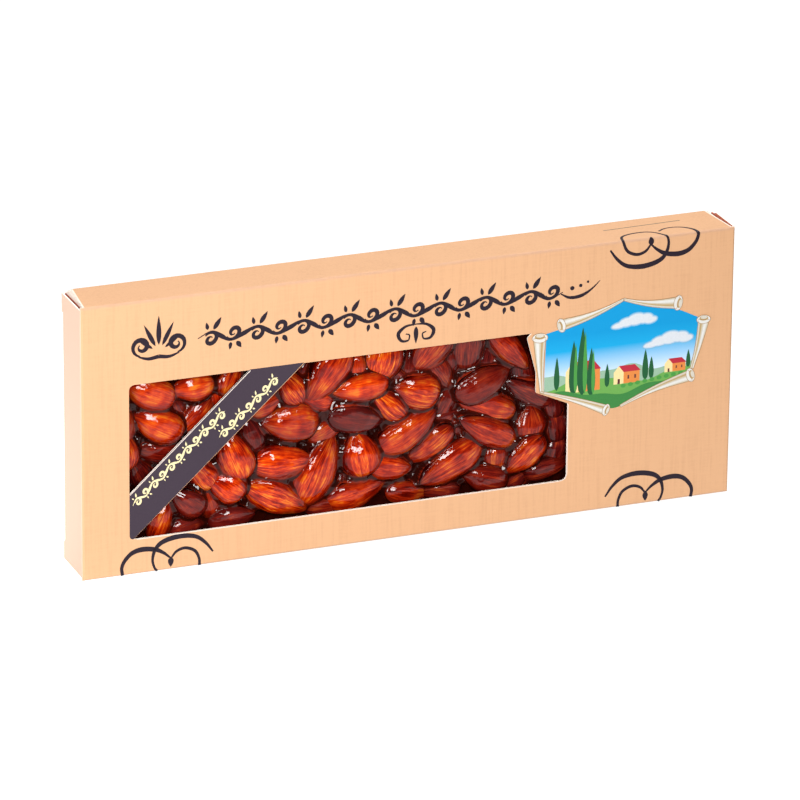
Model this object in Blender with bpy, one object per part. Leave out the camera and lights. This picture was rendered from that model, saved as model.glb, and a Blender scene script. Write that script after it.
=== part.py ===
"""Window carton of almond brittle: a shut, flat folding carton standing on its long narrow side.

Metres, +Z up. The origin is the middle of the carton's underside, the printed front faces -Y and
the long side runs along X. Two solids: the folded board, and the slab of brittle inside it.
"""

import math
import random

import bmesh
import bpy
from mathutils import Euler, Matrix, Vector

MM = 0.001

# The carton, outside.
WIDTH = 230 * MM
DEPTH = 19 * MM
HEIGHT = 95 * MM
BOARD = 0.5 * MM
FOLD_RADIUS = 0.8 * MM
FOLD_STEPS = 3
CORNER_STUB = 0.9 * MM

# The ends: a closure hinged on the front panel, folded back and tucked in along the back panel.
TOP_EDGE_INSET_FRONT = 1.1 * MM
TOP_EDGE_INSET_BACK = 3.2 * MM
CLOSURE_DROP = 1.1 * MM
BACK_EDGE_INSET = 1.1 * MM
LOCK_LENGTH = 7.5 * MM
TUCK_LENGTH = 14 * MM
TUCK_GAP = 0.4 * MM
TUCK_CREST = 0.05 * MM
TUCK_SIDE_GAP = 1.3 * MM
TUCK_CORNER = 4 * MM
SLIT = 0.3 * MM
FUSE = 0.2 * MM

# The window, measured on the front panel from its lower left corner.
WINDOW_LEFT = 16.3 * MM
WINDOW_RIGHT = 170.6 * MM
WINDOW_BOTTOM = 12.5 * MM
WINDOW_TOP = 66.4 * MM
WINDOW_CORNER = 1.8 * MM
# The diagonal band left across the window, and the tab under the picture at its right.
BAND_UPPER_START = 28.3 * MM
BAND_UPPER_END = 58.0 * MM
BAND_LOWER_START = 17.6 * MM
BAND_LOWER_END = 76.9 * MM
TAB_SHOULDER = 155.6 * MM
TAB_SHOULDER_RUN = 1.5 * MM
TAB_SHOULDER_DROP = 1.6 * MM
TAB_SHOULDER_RADIUS = 1.2 * MM
TAB_BEND_HEIGHT = 52.2 * MM
TAB_BEND_RADIUS = 8 * MM
TAB_WAIST = 159.0 * MM
TAB_WAIST_HEIGHT = 45.2 * MM
TAB_WAIST_RADIUS = 0.6 * MM
TAB_FOOT_HEIGHT = 39.9 * MM

# The slab: a core of set sugar with almonds standing out of its front.
SLAB_WIDTH = 223 * MM
SLAB_BOTTOM = 0.9 * MM
SLAB_TOP = 92.4 * MM
SLAB_BACK = 7.6 * MM
SLAB_FRONT = -2.2 * MM
SLAB_EDGE = 2.5 * MM
NUT_FRONT = -7.9 * MM
LAYER_STEP = 1.5 * MM
NUT_THICKNESS = 0.66
NUT_SIDES = 8
NUT_RINGS = 6
NUT_TAPER = 0.36
NUT_TILT = math.radians(9)
RIM = 0.6 * MM
SEED = 11

# The almonds that show in the window, in millimetres from the front panel's lower left corner:
# (x, height, length, width, way the tip points in degrees, layer counted from the front).
# Each place is where the nut is seen on the window's plane, looking from the left and above.
SEEN_NUTS = (
    (23.4, 62.6, 20, 12, 157, 0), (38.2, 62.4, 16, 10, 182, 0), (26.4, 50.8, 20, 12, 154, 0),
    (14.2, 52.4, 15, 9, 85, 1), (14, 43.4, 15, 12, 96, 0), (40.4, 52.6, 15, 10, 48, 1),
    (26.5, 42, 17, 10, 172, 2), (20.6, 34.4, 16, 10, 120, 3), (51.8, 64.2, 14, 10, 62, 1),
    (47, 59.4, 12, 8, 100, 2), (31, 36, 16, 10, 30, 3), (27, 17.4, 15, 9, 70, 1),
    (36.8, 22.4, 15, 10, 142, 0), (41.6, 32.2, 15, 10, 128, 1), (50.2, 26.4, 15, 11.5, 146, 0),
    (52.8, 36.6, 20, 13, 113, 0), (58.6, 43.8, 14, 9, 108, 2), (52.2, 14.8, 17, 9.5, 4, 1),
    (65, 53.6, 15, 9, 20, 2), (72.6, 58.2, 15, 10, 122, 1), (76.8, 62, 12, 8, 80, 3),
    (85.8, 61.4, 25, 14, 232, 0), (81.4, 52.6, 13, 7.5, 160, 1), (72.6, 45.8, 21, 14.5, 176, 0),
    (85.6, 41.8, 16, 9, 20, 2), (70.2, 31.8, 22, 12, 358, 0), (82.2, 27.4, 27, 15.5, 63, 0),
    (68.2, 19.5, 24.5, 12.5, 332, 0), (95.4, 63.6, 11, 7, 90, 2), (97, 54.6, 21, 10, 182, 0),
    (105.4, 65.6, 20, 14.5, 78, 1), (121.8, 64.4, 20, 12, 234, 1), (125.2, 56.8, 15, 9, 300, 2),
    (134.9, 66.4, 22.5, 12, 90, 1), (150, 61.2, 20, 9, 312, 1), (117.4, 50.8, 17, 13.5, 165, 0),
    (140.9, 50.6, 22, 12, 20, 0), (141.8, 42.4, 22.5, 11, 161, 1), (157.6, 45.6, 21, 10, 152, 2),
    (155, 55, 16, 10, 100, 3), (96, 44, 21.5, 11.5, 345, 0), (106.8, 47.8, 16, 9, 138, 1),
    (114.2, 37.3, 24, 12, 31, 0), (127.4, 47.2, 15, 9, 62, 3), (121.6, 31.2, 20, 10.5, 218, 1),
    (142.4, 33.6, 24, 10.5, 151, 0), (157.8, 34.6, 13, 12, 90, 1),
    (129.6, 23.6, 26.5, 13.5, 207, 0), (156.2, 22.8, 18, 11.5, 222, 0),
    (97.3, 31.1, 17, 14, 102, 0), (107.8, 25.6, 17, 10, 345, 1), (95.6, 17.6, 22, 11.5, 12, 1),
    (114.4, 15.4, 18, 9, 350, 2), (145.4, 24.6, 12, 9, 88, 2), (141.6, 16.6, 17, 10.5, 163, 1),
    (164, 17.4, 17, 8, 12, 2), (166.6, 33.6, 16, 9, 96, 3), (167, 25.4, 14, 9, 75, 3),
    (43.6, 22.4, 13, 8, 105, 2), (83.2, 14.2, 14, 8, 175, 2), (36, 13.6, 14, 8, 5, 2),
    (125.4, 14.2, 15, 7.5, 178, 2), (152.4, 14.4, 13, 7.5, 20, 3), (33, 55.6, 12, 7.5, 110, 3),
    (114.6, 61.2, 14, 7.5, 84, 3), (128.6, 61.6, 13, 7.5, 96, 3), (141.6, 60.6, 14, 8, 76, 3),
    (89.8, 21.4, 12, 7, 60, 3), (126.6, 40.2, 12, 7, 20, 3), (109.4, 57.6, 12, 7, 140, 3),
    (58.4, 24, 10, 7, 100, 3), (85.4, 48.6, 11, 6.5, 20, 3), (131, 37, 12, 7, 100, 3),
    (165.6, 41, 13, 8, 100, 3),
)
SIGHT_ACROSS = 0.395
SIGHT_DOWN = 0.416
SHOWN_DEPTH = 0.2

# The almonds behind the board, on a loose grid round the window.
HIDDEN_PITCH_X = 17 * MM
HIDDEN_PITCH_Z = 13 * MM
HIDDEN_SHIFT_X = 2 * MM
HIDDEN_SHIFT_Z = 1.5 * MM
HIDDEN_LENGTHS = (17 * MM, 22 * MM)
HIDDEN_WIDTHS = (10.3 * MM, 12.7 * MM)
HIDDEN_LAYERS = (0, 1, 1, 2)
CLEAR_ROUND_WINDOW = 7 * MM
CLEAR_RIGHT_OF_WINDOW = 8 * MM
CLEAR_BELOW_WINDOW = 7 * MM

PEACH = (0.93, 0.62, 0.39, 1)
CARAMEL = (0.30, 0.05, 0.015, 1)

LEFT, RIGHT = -WIDTH / 2, WIDTH / 2
FRONT, BACK = -DEPTH / 2, DEPTH / 2
BEYOND = 2 * MM


def clear_scene():
    for obj in list(bpy.data.objects):
        bpy.data.objects.remove(obj, do_unlink=True)


def new_collection(name):
    collection = bpy.data.collections.new(name)
    bpy.context.scene.collection.children.link(collection)
    return collection


def material(name, colour, roughness):
    made = bpy.data.materials.new(name)
    made.use_nodes = True
    shader = made.node_tree.nodes["Principled BSDF"]
    shader.inputs["Base Color"].default_value = colour
    shader.inputs["Roughness"].default_value = roughness
    shader.inputs["Metallic"].default_value = 0
    return made


def object_from(bm, name, collection):
    bmesh.ops.recalc_face_normals(bm, faces=bm.faces)
    mesh = bpy.data.meshes.new(name)
    bm.to_mesh(mesh)
    bm.free()
    obj = bpy.data.objects.new(name, mesh)
    collection.objects.link(obj)
    return obj


def block(low, high):
    """A bmesh box between two corners."""
    bm = bmesh.new()
    bmesh.ops.create_cube(bm, size=1)
    size = [b - a for a, b in zip(low, high)]
    middle = [(a + b) / 2 for a, b in zip(low, high)]
    bmesh.ops.scale(bm, vec=size, verts=bm.verts)
    bmesh.ops.translate(bm, vec=middle, verts=bm.verts)
    return bm


def fillet(before, corner, after, radius, steps):
    """Points of the arc that rounds a corner of an outline."""
    corner = Vector(corner)
    to_before = (Vector(before) - corner).normalized()
    to_after = (Vector(after) - corner).normalized()
    half = to_before.angle(to_after) / 2
    run = radius / math.tan(half)
    centre = corner + (to_before + to_after).normalized() * radius / math.sin(half)
    start = corner + to_before * run - centre
    sweep = start.angle_signed(corner + to_after * run - centre)
    return [
        centre + Matrix.Rotation(-sweep * i / steps, 2) @ start for i in range(steps + 1)
    ]


def rounded_outline(corners, steps=4):
    """Outline from (x, y, radius) corners; a radius of 0 keeps the corner sharp."""
    points = []
    for i, (x, y, radius) in enumerate(corners):
        before, after = corners[i - 1], corners[(i + 1) % len(corners)]
        if radius:
            points += fillet(before[:2], (x, y), after[:2], radius, steps)
        else:
            points.append(Vector((x, y)))
    return points


def extruded(name, outline, low, high, to_world, collection):
    """A flat outline extruded from low to high along its normal, as a closed mesh."""
    curve = bpy.data.curves.new(name, "CURVE")
    curve.dimensions = "2D"
    curve.fill_mode = "BOTH"
    curve.extrude = (high - low) / 2
    spline = curve.splines.new("POLY")
    spline.points.add(len(outline) - 1)
    for point, place in zip(spline.points, outline):
        point.co = (place[0], place[1], 0, 1)
    spline.use_cyclic_u = True
    guide = bpy.data.objects.new(name + "_outline", curve)
    collection.objects.link(guide)
    bpy.context.view_layer.update()
    graph = bpy.context.evaluated_depsgraph_get()
    mesh = bpy.data.meshes.new_from_object(guide.evaluated_get(graph))
    bpy.data.objects.remove(guide, do_unlink=True)
    bm = bmesh.new()
    bm.from_mesh(mesh)
    bmesh.ops.remove_doubles(bm, verts=bm.verts, dist=1e-6)
    bmesh.ops.translate(bm, vec=(0, 0, (low + high) / 2), verts=bm.verts)
    bmesh.ops.transform(bm, matrix=to_world, verts=bm.verts)
    return object_from(bm, name, collection)


def combine(target, others, operation, solver="EXACT"):
    """Applies one Boolean with everything in a collection, then removes that collection's objects."""
    modifier = target.modifiers.new(operation.lower(), "BOOLEAN")
    modifier.operation = operation
    modifier.operand_type = "COLLECTION"
    modifier.collection = others
    modifier.solver = solver
    bpy.context.view_layer.objects.active = target
    bpy.ops.object.modifier_apply(modifier=modifier.name)
    for obj in list(others.objects):
        bpy.data.objects.remove(obj, do_unlink=True)


def fill_sealed_hollows(obj):
    """Drops the inner shells that joined pieces close off, so that those hollows become solid."""
    bm = bmesh.new()
    bm.from_mesh(obj.data)
    unseen = set(bm.faces)
    shells = []
    while unseen:
        shell = {unseen.pop()}
        edge_of_shell = list(shell)
        while edge_of_shell:
            face = edge_of_shell.pop()
            for near in {other for edge in face.edges for other in edge.link_faces}:
                if near in unseen:
                    unseen.remove(near)
                    shell.add(near)
                    edge_of_shell.append(near)
        shells.append(shell)
    shells.sort(key=len)
    for shell in shells[:-1]:
        bmesh.ops.delete(bm, geom=list(shell), context="FACES")
    bm.to_mesh(obj.data)
    bm.free()


def mark_cutters(cutters):
    for obj in cutters.objects:
        obj.hide_render = True
        obj.display_type = "WIRE"


# Outlines are drawn flat, and then lie on the plan or stand up along the front panel.
ON_FRONT = Matrix(((1, 0, 0, 0), (0, 0, 1, 0), (0, 1, 0, 0), (0, 0, 0, 1)))
ON_PLAN = Matrix.Identity(4)


def folded_block():
    """The carton as a solid block, its four long folds and two front corner folds rounded."""
    bm = block((LEFT, FRONT, 0), (RIGHT, BACK, HEIGHT))
    folds = []
    for edge in bm.edges:
        a, b = edge.verts[0].co, edge.verts[1].co
        along_x = abs(a.x - b.x) > DEPTH
        front_upright = abs(a.z - b.z) > DEPTH and a.y < 0
        if along_x or front_upright:
            folds.append(edge)
    bmesh.ops.bevel(
        bm, geom=folds, offset=FOLD_RADIUS, segments=FOLD_STEPS, profile=0.5, affect="EDGES"
    )
    return bm


def left_window(across):
    """The part of the window above the band: a triangle with one rounded corner."""
    return rounded_outline((
        (across(WINDOW_LEFT), BAND_UPPER_START, 0),
        (across(BAND_UPPER_END), WINDOW_TOP, 0),
        (across(WINDOW_LEFT), WINDOW_TOP, WINDOW_CORNER),
    ))


def right_window(across):
    """The part of the window below and right of the band, with the picture's tab cut round."""
    return rounded_outline((
        (across(BAND_LOWER_START), WINDOW_BOTTOM, 0),
        (across(WINDOW_RIGHT), WINDOW_BOTTOM, WINDOW_CORNER),
        (across(WINDOW_RIGHT), TAB_FOOT_HEIGHT, 0),
        (across(TAB_WAIST), TAB_WAIST_HEIGHT, TAB_WAIST_RADIUS),
        (across(TAB_WAIST), TAB_BEND_HEIGHT, TAB_BEND_RADIUS),
        (across(TAB_SHOULDER), WINDOW_TOP - TAB_SHOULDER_DROP, TAB_SHOULDER_RADIUS),
        (across(TAB_SHOULDER + TAB_SHOULDER_RUN), WINDOW_TOP, 0),
        (across(BAND_LOWER_END), WINDOW_TOP, 0),
    ))


def cut_ends(cutters):
    """Gaps that part each end closure from the top, bottom and back panels."""
    for side in (-1, 1):
        end = side * WIDTH / 2
        outside = end + side * BEYOND
        gap_plan = (
            (outside, FRONT + CORNER_STUB),
            (end - side * TOP_EDGE_INSET_FRONT, FRONT + CORNER_STUB),
            (end - side * TOP_EDGE_INSET_BACK, BACK + BEYOND),
            (outside, BACK + BEYOND),
        )
        for name, low, high in (
            ("top_gap", HEIGHT - CLOSURE_DROP, HEIGHT + BEYOND),
            ("bottom_gap", -BEYOND, CLOSURE_DROP),
        ):
            extruded(name, gap_plan, low, high, ON_PLAN, cutters)
        inner = end - side * BOARD
        back_edge = end - side * BACK_EDGE_INSET
        slot = block(
            (min(inner, back_edge), BACK - BOARD - TUCK_GAP, -BEYOND),
            (max(inner, back_edge), BACK + BEYOND, HEIGHT + BEYOND),
        )
        object_from(slot, "back_gap", cutters)
        crest = BACK - BOARD - TUCK_GAP + TUCK_CREST
        recess = rounded_outline((
            (outside, crest - BOARD, 0),
            (end, crest - BOARD, 0),
            (end, crest, BOARD),
            (back_edge, crest, 0),
            (back_edge, BACK + BEYOND, 0),
            (outside, BACK + BEYOND, 0),
        ))
        extruded("fold_recess", recess, LOCK_LENGTH, HEIGHT - LOCK_LENGTH, ON_PLAN, cutters)


def add_tucks(pieces):
    """The tuck flap of each closure, lying along the inside of the back panel."""
    for side in (-1, 1):
        end = side * WIDTH / 2
        inner = end - side * BOARD
        root, slit, tip = inner + side * FUSE, inner - side * SLIT, end - side * TUCK_LENGTH
        low, high = CLOSURE_DROP + TUCK_SIDE_GAP, HEIGHT - CLOSURE_DROP - TUCK_SIDE_GAP
        flap = rounded_outline((
            (root, LOCK_LENGTH + SLIT, 0),
            (slit, LOCK_LENGTH + SLIT, 0),
            (slit, low, 0),
            (tip, low, TUCK_CORNER),
            (tip, high, TUCK_CORNER),
            (slit, high, 0),
            (slit, HEIGHT - LOCK_LENGTH - SLIT, 0),
            (root, HEIGHT - LOCK_LENGTH - SLIT, 0),
        ))
        tuck_face = BACK - BOARD - TUCK_GAP
        extruded("tuck", flap, tuck_face - BOARD, tuck_face, ON_FRONT, pieces)


def make_carton(parts, helpers):
    carton = object_from(folded_block(), "carton", parts)
    cutters = new_collection("carton_cutters")
    helpers.children.link(cutters)
    inside = block(
        (LEFT + BOARD, FRONT + BOARD, BOARD), (RIGHT - BOARD, BACK - BOARD, HEIGHT - BOARD)
    )
    object_from(inside, "inside", cutters)

    def across(distance):
        return LEFT + distance

    for name, outline in (("window_left", left_window), ("window_right", right_window)):
        extruded(
            name, outline(across), FRONT - BEYOND, FRONT + BOARD + BEYOND, ON_FRONT, cutters
        )
    cut_ends(cutters)
    mark_cutters(cutters)
    combine(carton, cutters, "DIFFERENCE")
    tucks = new_collection("carton_tucks")
    helpers.children.link(tucks)
    add_tucks(tucks)
    combine(carton, tucks, "UNION")
    carton.data.materials.clear()
    carton.data.materials.append(material("peach_board", PEACH, 0.55))
    carton.data.set_sharp_from_angle(angle=math.radians(35))
    return carton


def almond(length, width):
    """A low teardrop along X with its tip at +X, flattened along Y."""
    bm = bmesh.new()
    bmesh.ops.create_uvsphere(bm, u_segments=NUT_SIDES, v_segments=NUT_RINGS, radius=1)
    for vert in bm.verts:
        along = vert.co.z
        girth = 1 - NUT_TAPER * max(along, 0) ** 1.5
        vert.co = Vector((
            along * length / 2,
            vert.co.x * girth * NUT_THICKNESS * width / 2,
            vert.co.y * girth * width / 2,
        ))
    return bm


def place_nut(bm, place, angle, draw):
    """Turns an almond to its angle in the slab's plane, with a small seeded tilt and roll."""
    tilt = Euler((draw.uniform(-1, 1) * NUT_TILT, 0, draw.uniform(-1, 1) * NUT_TILT))
    turn = Matrix.Rotation(-math.radians(angle), 4, "Y")
    matrix = Matrix.Translation(place) @ turn @ tilt.to_matrix().to_4x4()
    bmesh.ops.transform(bm, matrix=matrix, verts=bm.verts)


def seen_nuts(draw):
    """Almonds in the window, each carried back along the line of sight to the part that shows."""
    for x, height, length, width, angle, layer in SEEN_NUTS:
        thick = NUT_THICKNESS * width * MM
        front = NUT_FRONT + layer * LAYER_STEP
        behind = front + SHOWN_DEPTH * thick - FRONT
        place = Vector((
            LEFT + x * MM + SIGHT_ACROSS * behind,
            front + thick / 2,
            height * MM - SIGHT_DOWN * behind,
        ))
        bm = almond(length * MM, width * MM)
        place_nut(bm, place, angle, draw)
        yield bm


def in_window(x, z):
    """True in the window and so near it that an almond there could show in it."""
    return (
        WINDOW_LEFT - CLEAR_ROUND_WINDOW < x - LEFT < WINDOW_RIGHT + CLEAR_RIGHT_OF_WINDOW
        and WINDOW_BOTTOM - CLEAR_BELOW_WINDOW < z < WINDOW_TOP + CLEAR_ROUND_WINDOW
    )


def hidden_nuts(draw):
    """Almonds on the rest of the slab's front, on a jittered grid that keeps inside its rim."""
    columns = int(SLAB_WIDTH // HIDDEN_PITCH_X)
    rows = int((SLAB_TOP - SLAB_BOTTOM) // HIDDEN_PITCH_Z)
    for column in range(columns):
        for row in range(rows):
            x = -SLAB_WIDTH / 2 + (column + 0.5) * SLAB_WIDTH / columns
            z = SLAB_BOTTOM + (row + 0.5) * (SLAB_TOP - SLAB_BOTTOM) / rows
            length = draw.uniform(*HIDDEN_LENGTHS)
            width = draw.uniform(*HIDDEN_WIDTHS)
            angle = draw.uniform(-180, 180)
            x += draw.uniform(-1, 1) * HIDDEN_SHIFT_X
            z += draw.uniform(-1, 1) * HIDDEN_SHIFT_Z
            layer = draw.choice(HIDDEN_LAYERS)
            if in_window(x, z):
                continue
            turn = math.radians(angle)
            reach_x = abs(math.cos(turn)) * length / 2 + abs(math.sin(turn)) * width / 2 + RIM
            reach_z = abs(math.sin(turn)) * length / 2 + abs(math.cos(turn)) * width / 2 + RIM
            x = min(max(x, -SLAB_WIDTH / 2 + reach_x), SLAB_WIDTH / 2 - reach_x)
            z = min(max(z, SLAB_BOTTOM + reach_z), SLAB_TOP - reach_z)
            depth = NUT_FRONT + layer * LAYER_STEP + NUT_THICKNESS * width / 2
            bm = almond(length, width)
            place_nut(bm, Vector((x, depth, z)), angle, draw)
            yield bm


def make_brittle(parts, helpers):
    core = block(
        (-SLAB_WIDTH / 2, SLAB_FRONT, SLAB_BOTTOM), (SLAB_WIDTH / 2, SLAB_BACK, SLAB_TOP)
    )
    bmesh.ops.bevel(
        core, geom=list(core.edges), offset=SLAB_EDGE, segments=2, profile=0.5, affect="EDGES"
    )
    brittle = object_from(core, "brittle", parts)
    nuts = new_collection("nuts")
    helpers.children.link(nuts)
    draw = random.Random(SEED)
    for maker in (seen_nuts, hidden_nuts):
        for bm in maker(draw):
            object_from(bm, "nut", nuts)
    combine(brittle, nuts, "UNION", "MANIFOLD")
    fill_sealed_hollows(brittle)
    brittle.data.materials.clear()
    brittle.data.materials.append(material("caramel", CARAMEL, 0.2))
    brittle.data.set_sharp_from_angle(angle=math.radians(35))
    return brittle


def main():
    clear_scene()
    parts = new_collection("window_carton_of_brittle")
    helpers = new_collection("helpers")
    make_carton(parts, helpers)
    make_brittle(parts, helpers)


main()
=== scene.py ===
"""Looks of the window carton of almond brittle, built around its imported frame. Metres, +Z up."""

import math
import random

import bmesh
import bpy
import numpy as np
from mathutils import Euler, Matrix, Vector


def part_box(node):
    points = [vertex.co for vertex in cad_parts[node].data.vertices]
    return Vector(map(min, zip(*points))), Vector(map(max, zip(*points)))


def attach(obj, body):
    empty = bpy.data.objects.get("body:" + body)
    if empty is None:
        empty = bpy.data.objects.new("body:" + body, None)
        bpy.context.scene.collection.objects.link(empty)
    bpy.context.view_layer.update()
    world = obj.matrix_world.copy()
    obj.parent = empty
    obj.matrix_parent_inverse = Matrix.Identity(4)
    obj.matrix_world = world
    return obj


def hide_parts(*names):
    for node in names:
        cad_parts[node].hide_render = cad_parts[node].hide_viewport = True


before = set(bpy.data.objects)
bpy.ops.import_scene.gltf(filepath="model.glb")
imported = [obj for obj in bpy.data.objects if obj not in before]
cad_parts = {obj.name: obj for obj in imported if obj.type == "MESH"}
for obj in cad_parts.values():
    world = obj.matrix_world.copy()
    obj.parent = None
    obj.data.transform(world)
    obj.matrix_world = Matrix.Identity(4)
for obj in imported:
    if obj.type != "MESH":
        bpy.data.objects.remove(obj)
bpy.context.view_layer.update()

MM = 0.001

# ---------------------------------------------------------------- sizes read from the frame
LOW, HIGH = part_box("carton")
WIDTH, DEPTH, HEIGHT = HIGH - LOW
LEFT, FRONT, BACK = LOW.x, LOW.y, HIGH.y
SLAB_LOW, SLAB_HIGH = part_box("brittle")

# Sizes that the carton's solid is made with.
BOARD = 0.5 * MM
FUSE = 0.1 * MM
FOLD_RADIUS = 0.8 * MM
WINDOW_LEFT, WINDOW_RIGHT = 16.3 * MM, 170.6 * MM
WINDOW_BOTTOM, WINDOW_TOP = 12.5 * MM, 66.4 * MM
WINDOW_CORNER = 1.8 * MM
# The band's upper and lower edges: their height on the window's left side or their place on
# its foot, and their place on its top.
BAND_UPPER_START, BAND_UPPER_END = 28.3 * MM, 58.0 * MM
BAND_LOWER_START, BAND_LOWER_END = 17.6 * MM, 76.9 * MM
TAB_FOOT_HEIGHT = 39.9 * MM
TOP_EDGE_INSET_FRONT = 1.1 * MM
TOP_EDGE_INSET_BACK = 3.2 * MM
CLOSURE_DROP = 1.1 * MM


def add_object(name, data):
    made = bpy.data.objects.new(name, data)
    bpy.context.scene.collection.objects.link(made)
    return made


# ---------------------------------------------------------------- camera, fitted to the photo
CAMERA_PLACE = (-0.7688, -1.9435, 0.8544)
CAMERA_YAW = 0.3764
CAMERA_PITCH = 0.3695
CAMERA_ROLL = 0.0105
CAMERA_LENS = 305.0


def make_camera():
    data = bpy.data.cameras.new("camera")
    data.lens = CAMERA_LENS
    data.sensor_width = 36
    data.clip_start = 0.05
    data.clip_end = 50
    level, tilt = math.cos(CAMERA_PITCH), math.sin(CAMERA_PITCH)
    ahead = Vector((math.sin(CAMERA_YAW) * level, math.cos(CAMERA_YAW) * level, -tilt))
    right = Vector((math.cos(CAMERA_YAW), -math.sin(CAMERA_YAW), 0))
    up = right.cross(ahead)
    straight, leaning = math.cos(CAMERA_ROLL), math.sin(CAMERA_ROLL)
    rolled_right = right * straight + up * leaning
    rolled_up = up * straight - right * leaning
    axes = Matrix((rolled_right, rolled_up, -ahead)).transposed().to_4x4()
    camera = add_object("camera", data)
    camera.matrix_world = Matrix.Translation(CAMERA_PLACE) @ axes
    bpy.context.scene.camera = camera


def softbox(name, place, target, width, height, watts):
    data = bpy.data.lights.new(name, "AREA")
    data.shape = "RECTANGLE"
    data.size, data.size_y = width, height
    data.energy = watts
    lamp = add_object(name, data)
    lamp.location = place
    direction = Vector(target) - Vector(place)
    lamp.rotation_euler = direction.to_track_quat("-Z", "Y").to_euler()


# Softboxes by name, place, target, width, height and watts.
LIGHTS = (
    ("key", (-0.12, -0.55, 0.28), (0, 0, 0.045), 0.19, 0.17, 3.0),
    ("left", (-0.42, -0.40, 0.46), (-0.03, 0, 0.045), 0.04, 0.30, 1.0),
    ("left_card", (-0.42, -0.24, 0.18), (-0.06, 0, 0.045), 0.12, 0.12, 1.05),
    ("strip", (-0.28, -0.62, 0.88), (0, 0, 0.045), 0.45, 0.03, 1.35),
    ("overhead", (0.34, 0.45, 0.90), (0, 0, 0.09), 1.0, 0.4, 12.9),
)
WORLD_GLOW = 0.10

# The floor's glow, with its fall-off in front of the carton and to its right, both measured on
# the floor from the carton's middle along and across the camera's heading.
FLOOR_SIZE = 16
FLOOR_SHIFT = 3.0
FLOOR_GLOW = 0.89
FLOOR_FAR_GLOW = 0.25
FLOOR_FRONT = (-0.225, -0.34)
FLOOR_RIGHT = (0.145, 0.24)
FLOOR_BRIGHT_SPOT = (-0.16, 0.11)
FLOOR_BRIGHT_REACH = 0.16
FLOOR_BRIGHT_GLOW = 1.8


def make_lights():
    scene = bpy.context.scene
    scene.view_settings.view_transform = "Standard"
    scene.world = bpy.data.worlds.new("studio")
    scene.world.use_nodes = True
    background = scene.world.node_tree.nodes["Background"]
    background.inputs["Color"].default_value = (1, 1, 1, 1)
    background.inputs["Strength"].default_value = WORLD_GLOW
    for light in LIGHTS:
        softbox(*light)


def make_floor():
    """A pale floor, bright round the carton and dimmer where it would veil the glossy almonds."""
    bpy.ops.mesh.primitive_plane_add(size=FLOOR_SIZE, location=(0, FLOOR_SHIFT, 0))
    floor = bpy.context.active_object
    floor.name = "floor"
    graph = Graph("pale_floor")
    x, y, _ = graph.split(graph.place())
    y = graph.add(y, FLOOR_SHIFT)
    turn_cos, turn_sin = math.cos(CAMERA_YAW), math.sin(CAMERA_YAW)
    along = graph.add(graph.times(x, turn_sin), graph.times(y, turn_cos))
    across = graph.less(graph.times(x, turn_cos), graph.times(y, turn_sin))
    lit = graph.times(
        graph.fade(along, FLOOR_FRONT[1], FLOOR_FRONT[0], 0.0, 1.0),
        graph.fade(across, FLOOR_RIGHT[0], FLOOR_RIGHT[1], 1.0, 0.0),
    )
    glow = graph.add(graph.times(lit, FLOOR_GLOW - FLOOR_FAR_GLOW), FLOOR_FAR_GLOW)
    spot_x, spot_y = FLOOR_BRIGHT_SPOT
    away = graph.distance(graph.less(x, spot_x), graph.less(y, spot_y))
    near = graph.fade(away, FLOOR_BRIGHT_REACH, 0.3 * FLOOR_BRIGHT_REACH, 0.0, FLOOR_BRIGHT_GLOW)
    floor.data.materials.append(
        graph.finish(
            Base_Color=(0.15, 0.15, 0.15),
            Roughness=0.9,
            Emission_Color=(1, 1, 1),
            Emission_Strength=graph.add(glow, near),
        )
    )


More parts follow.
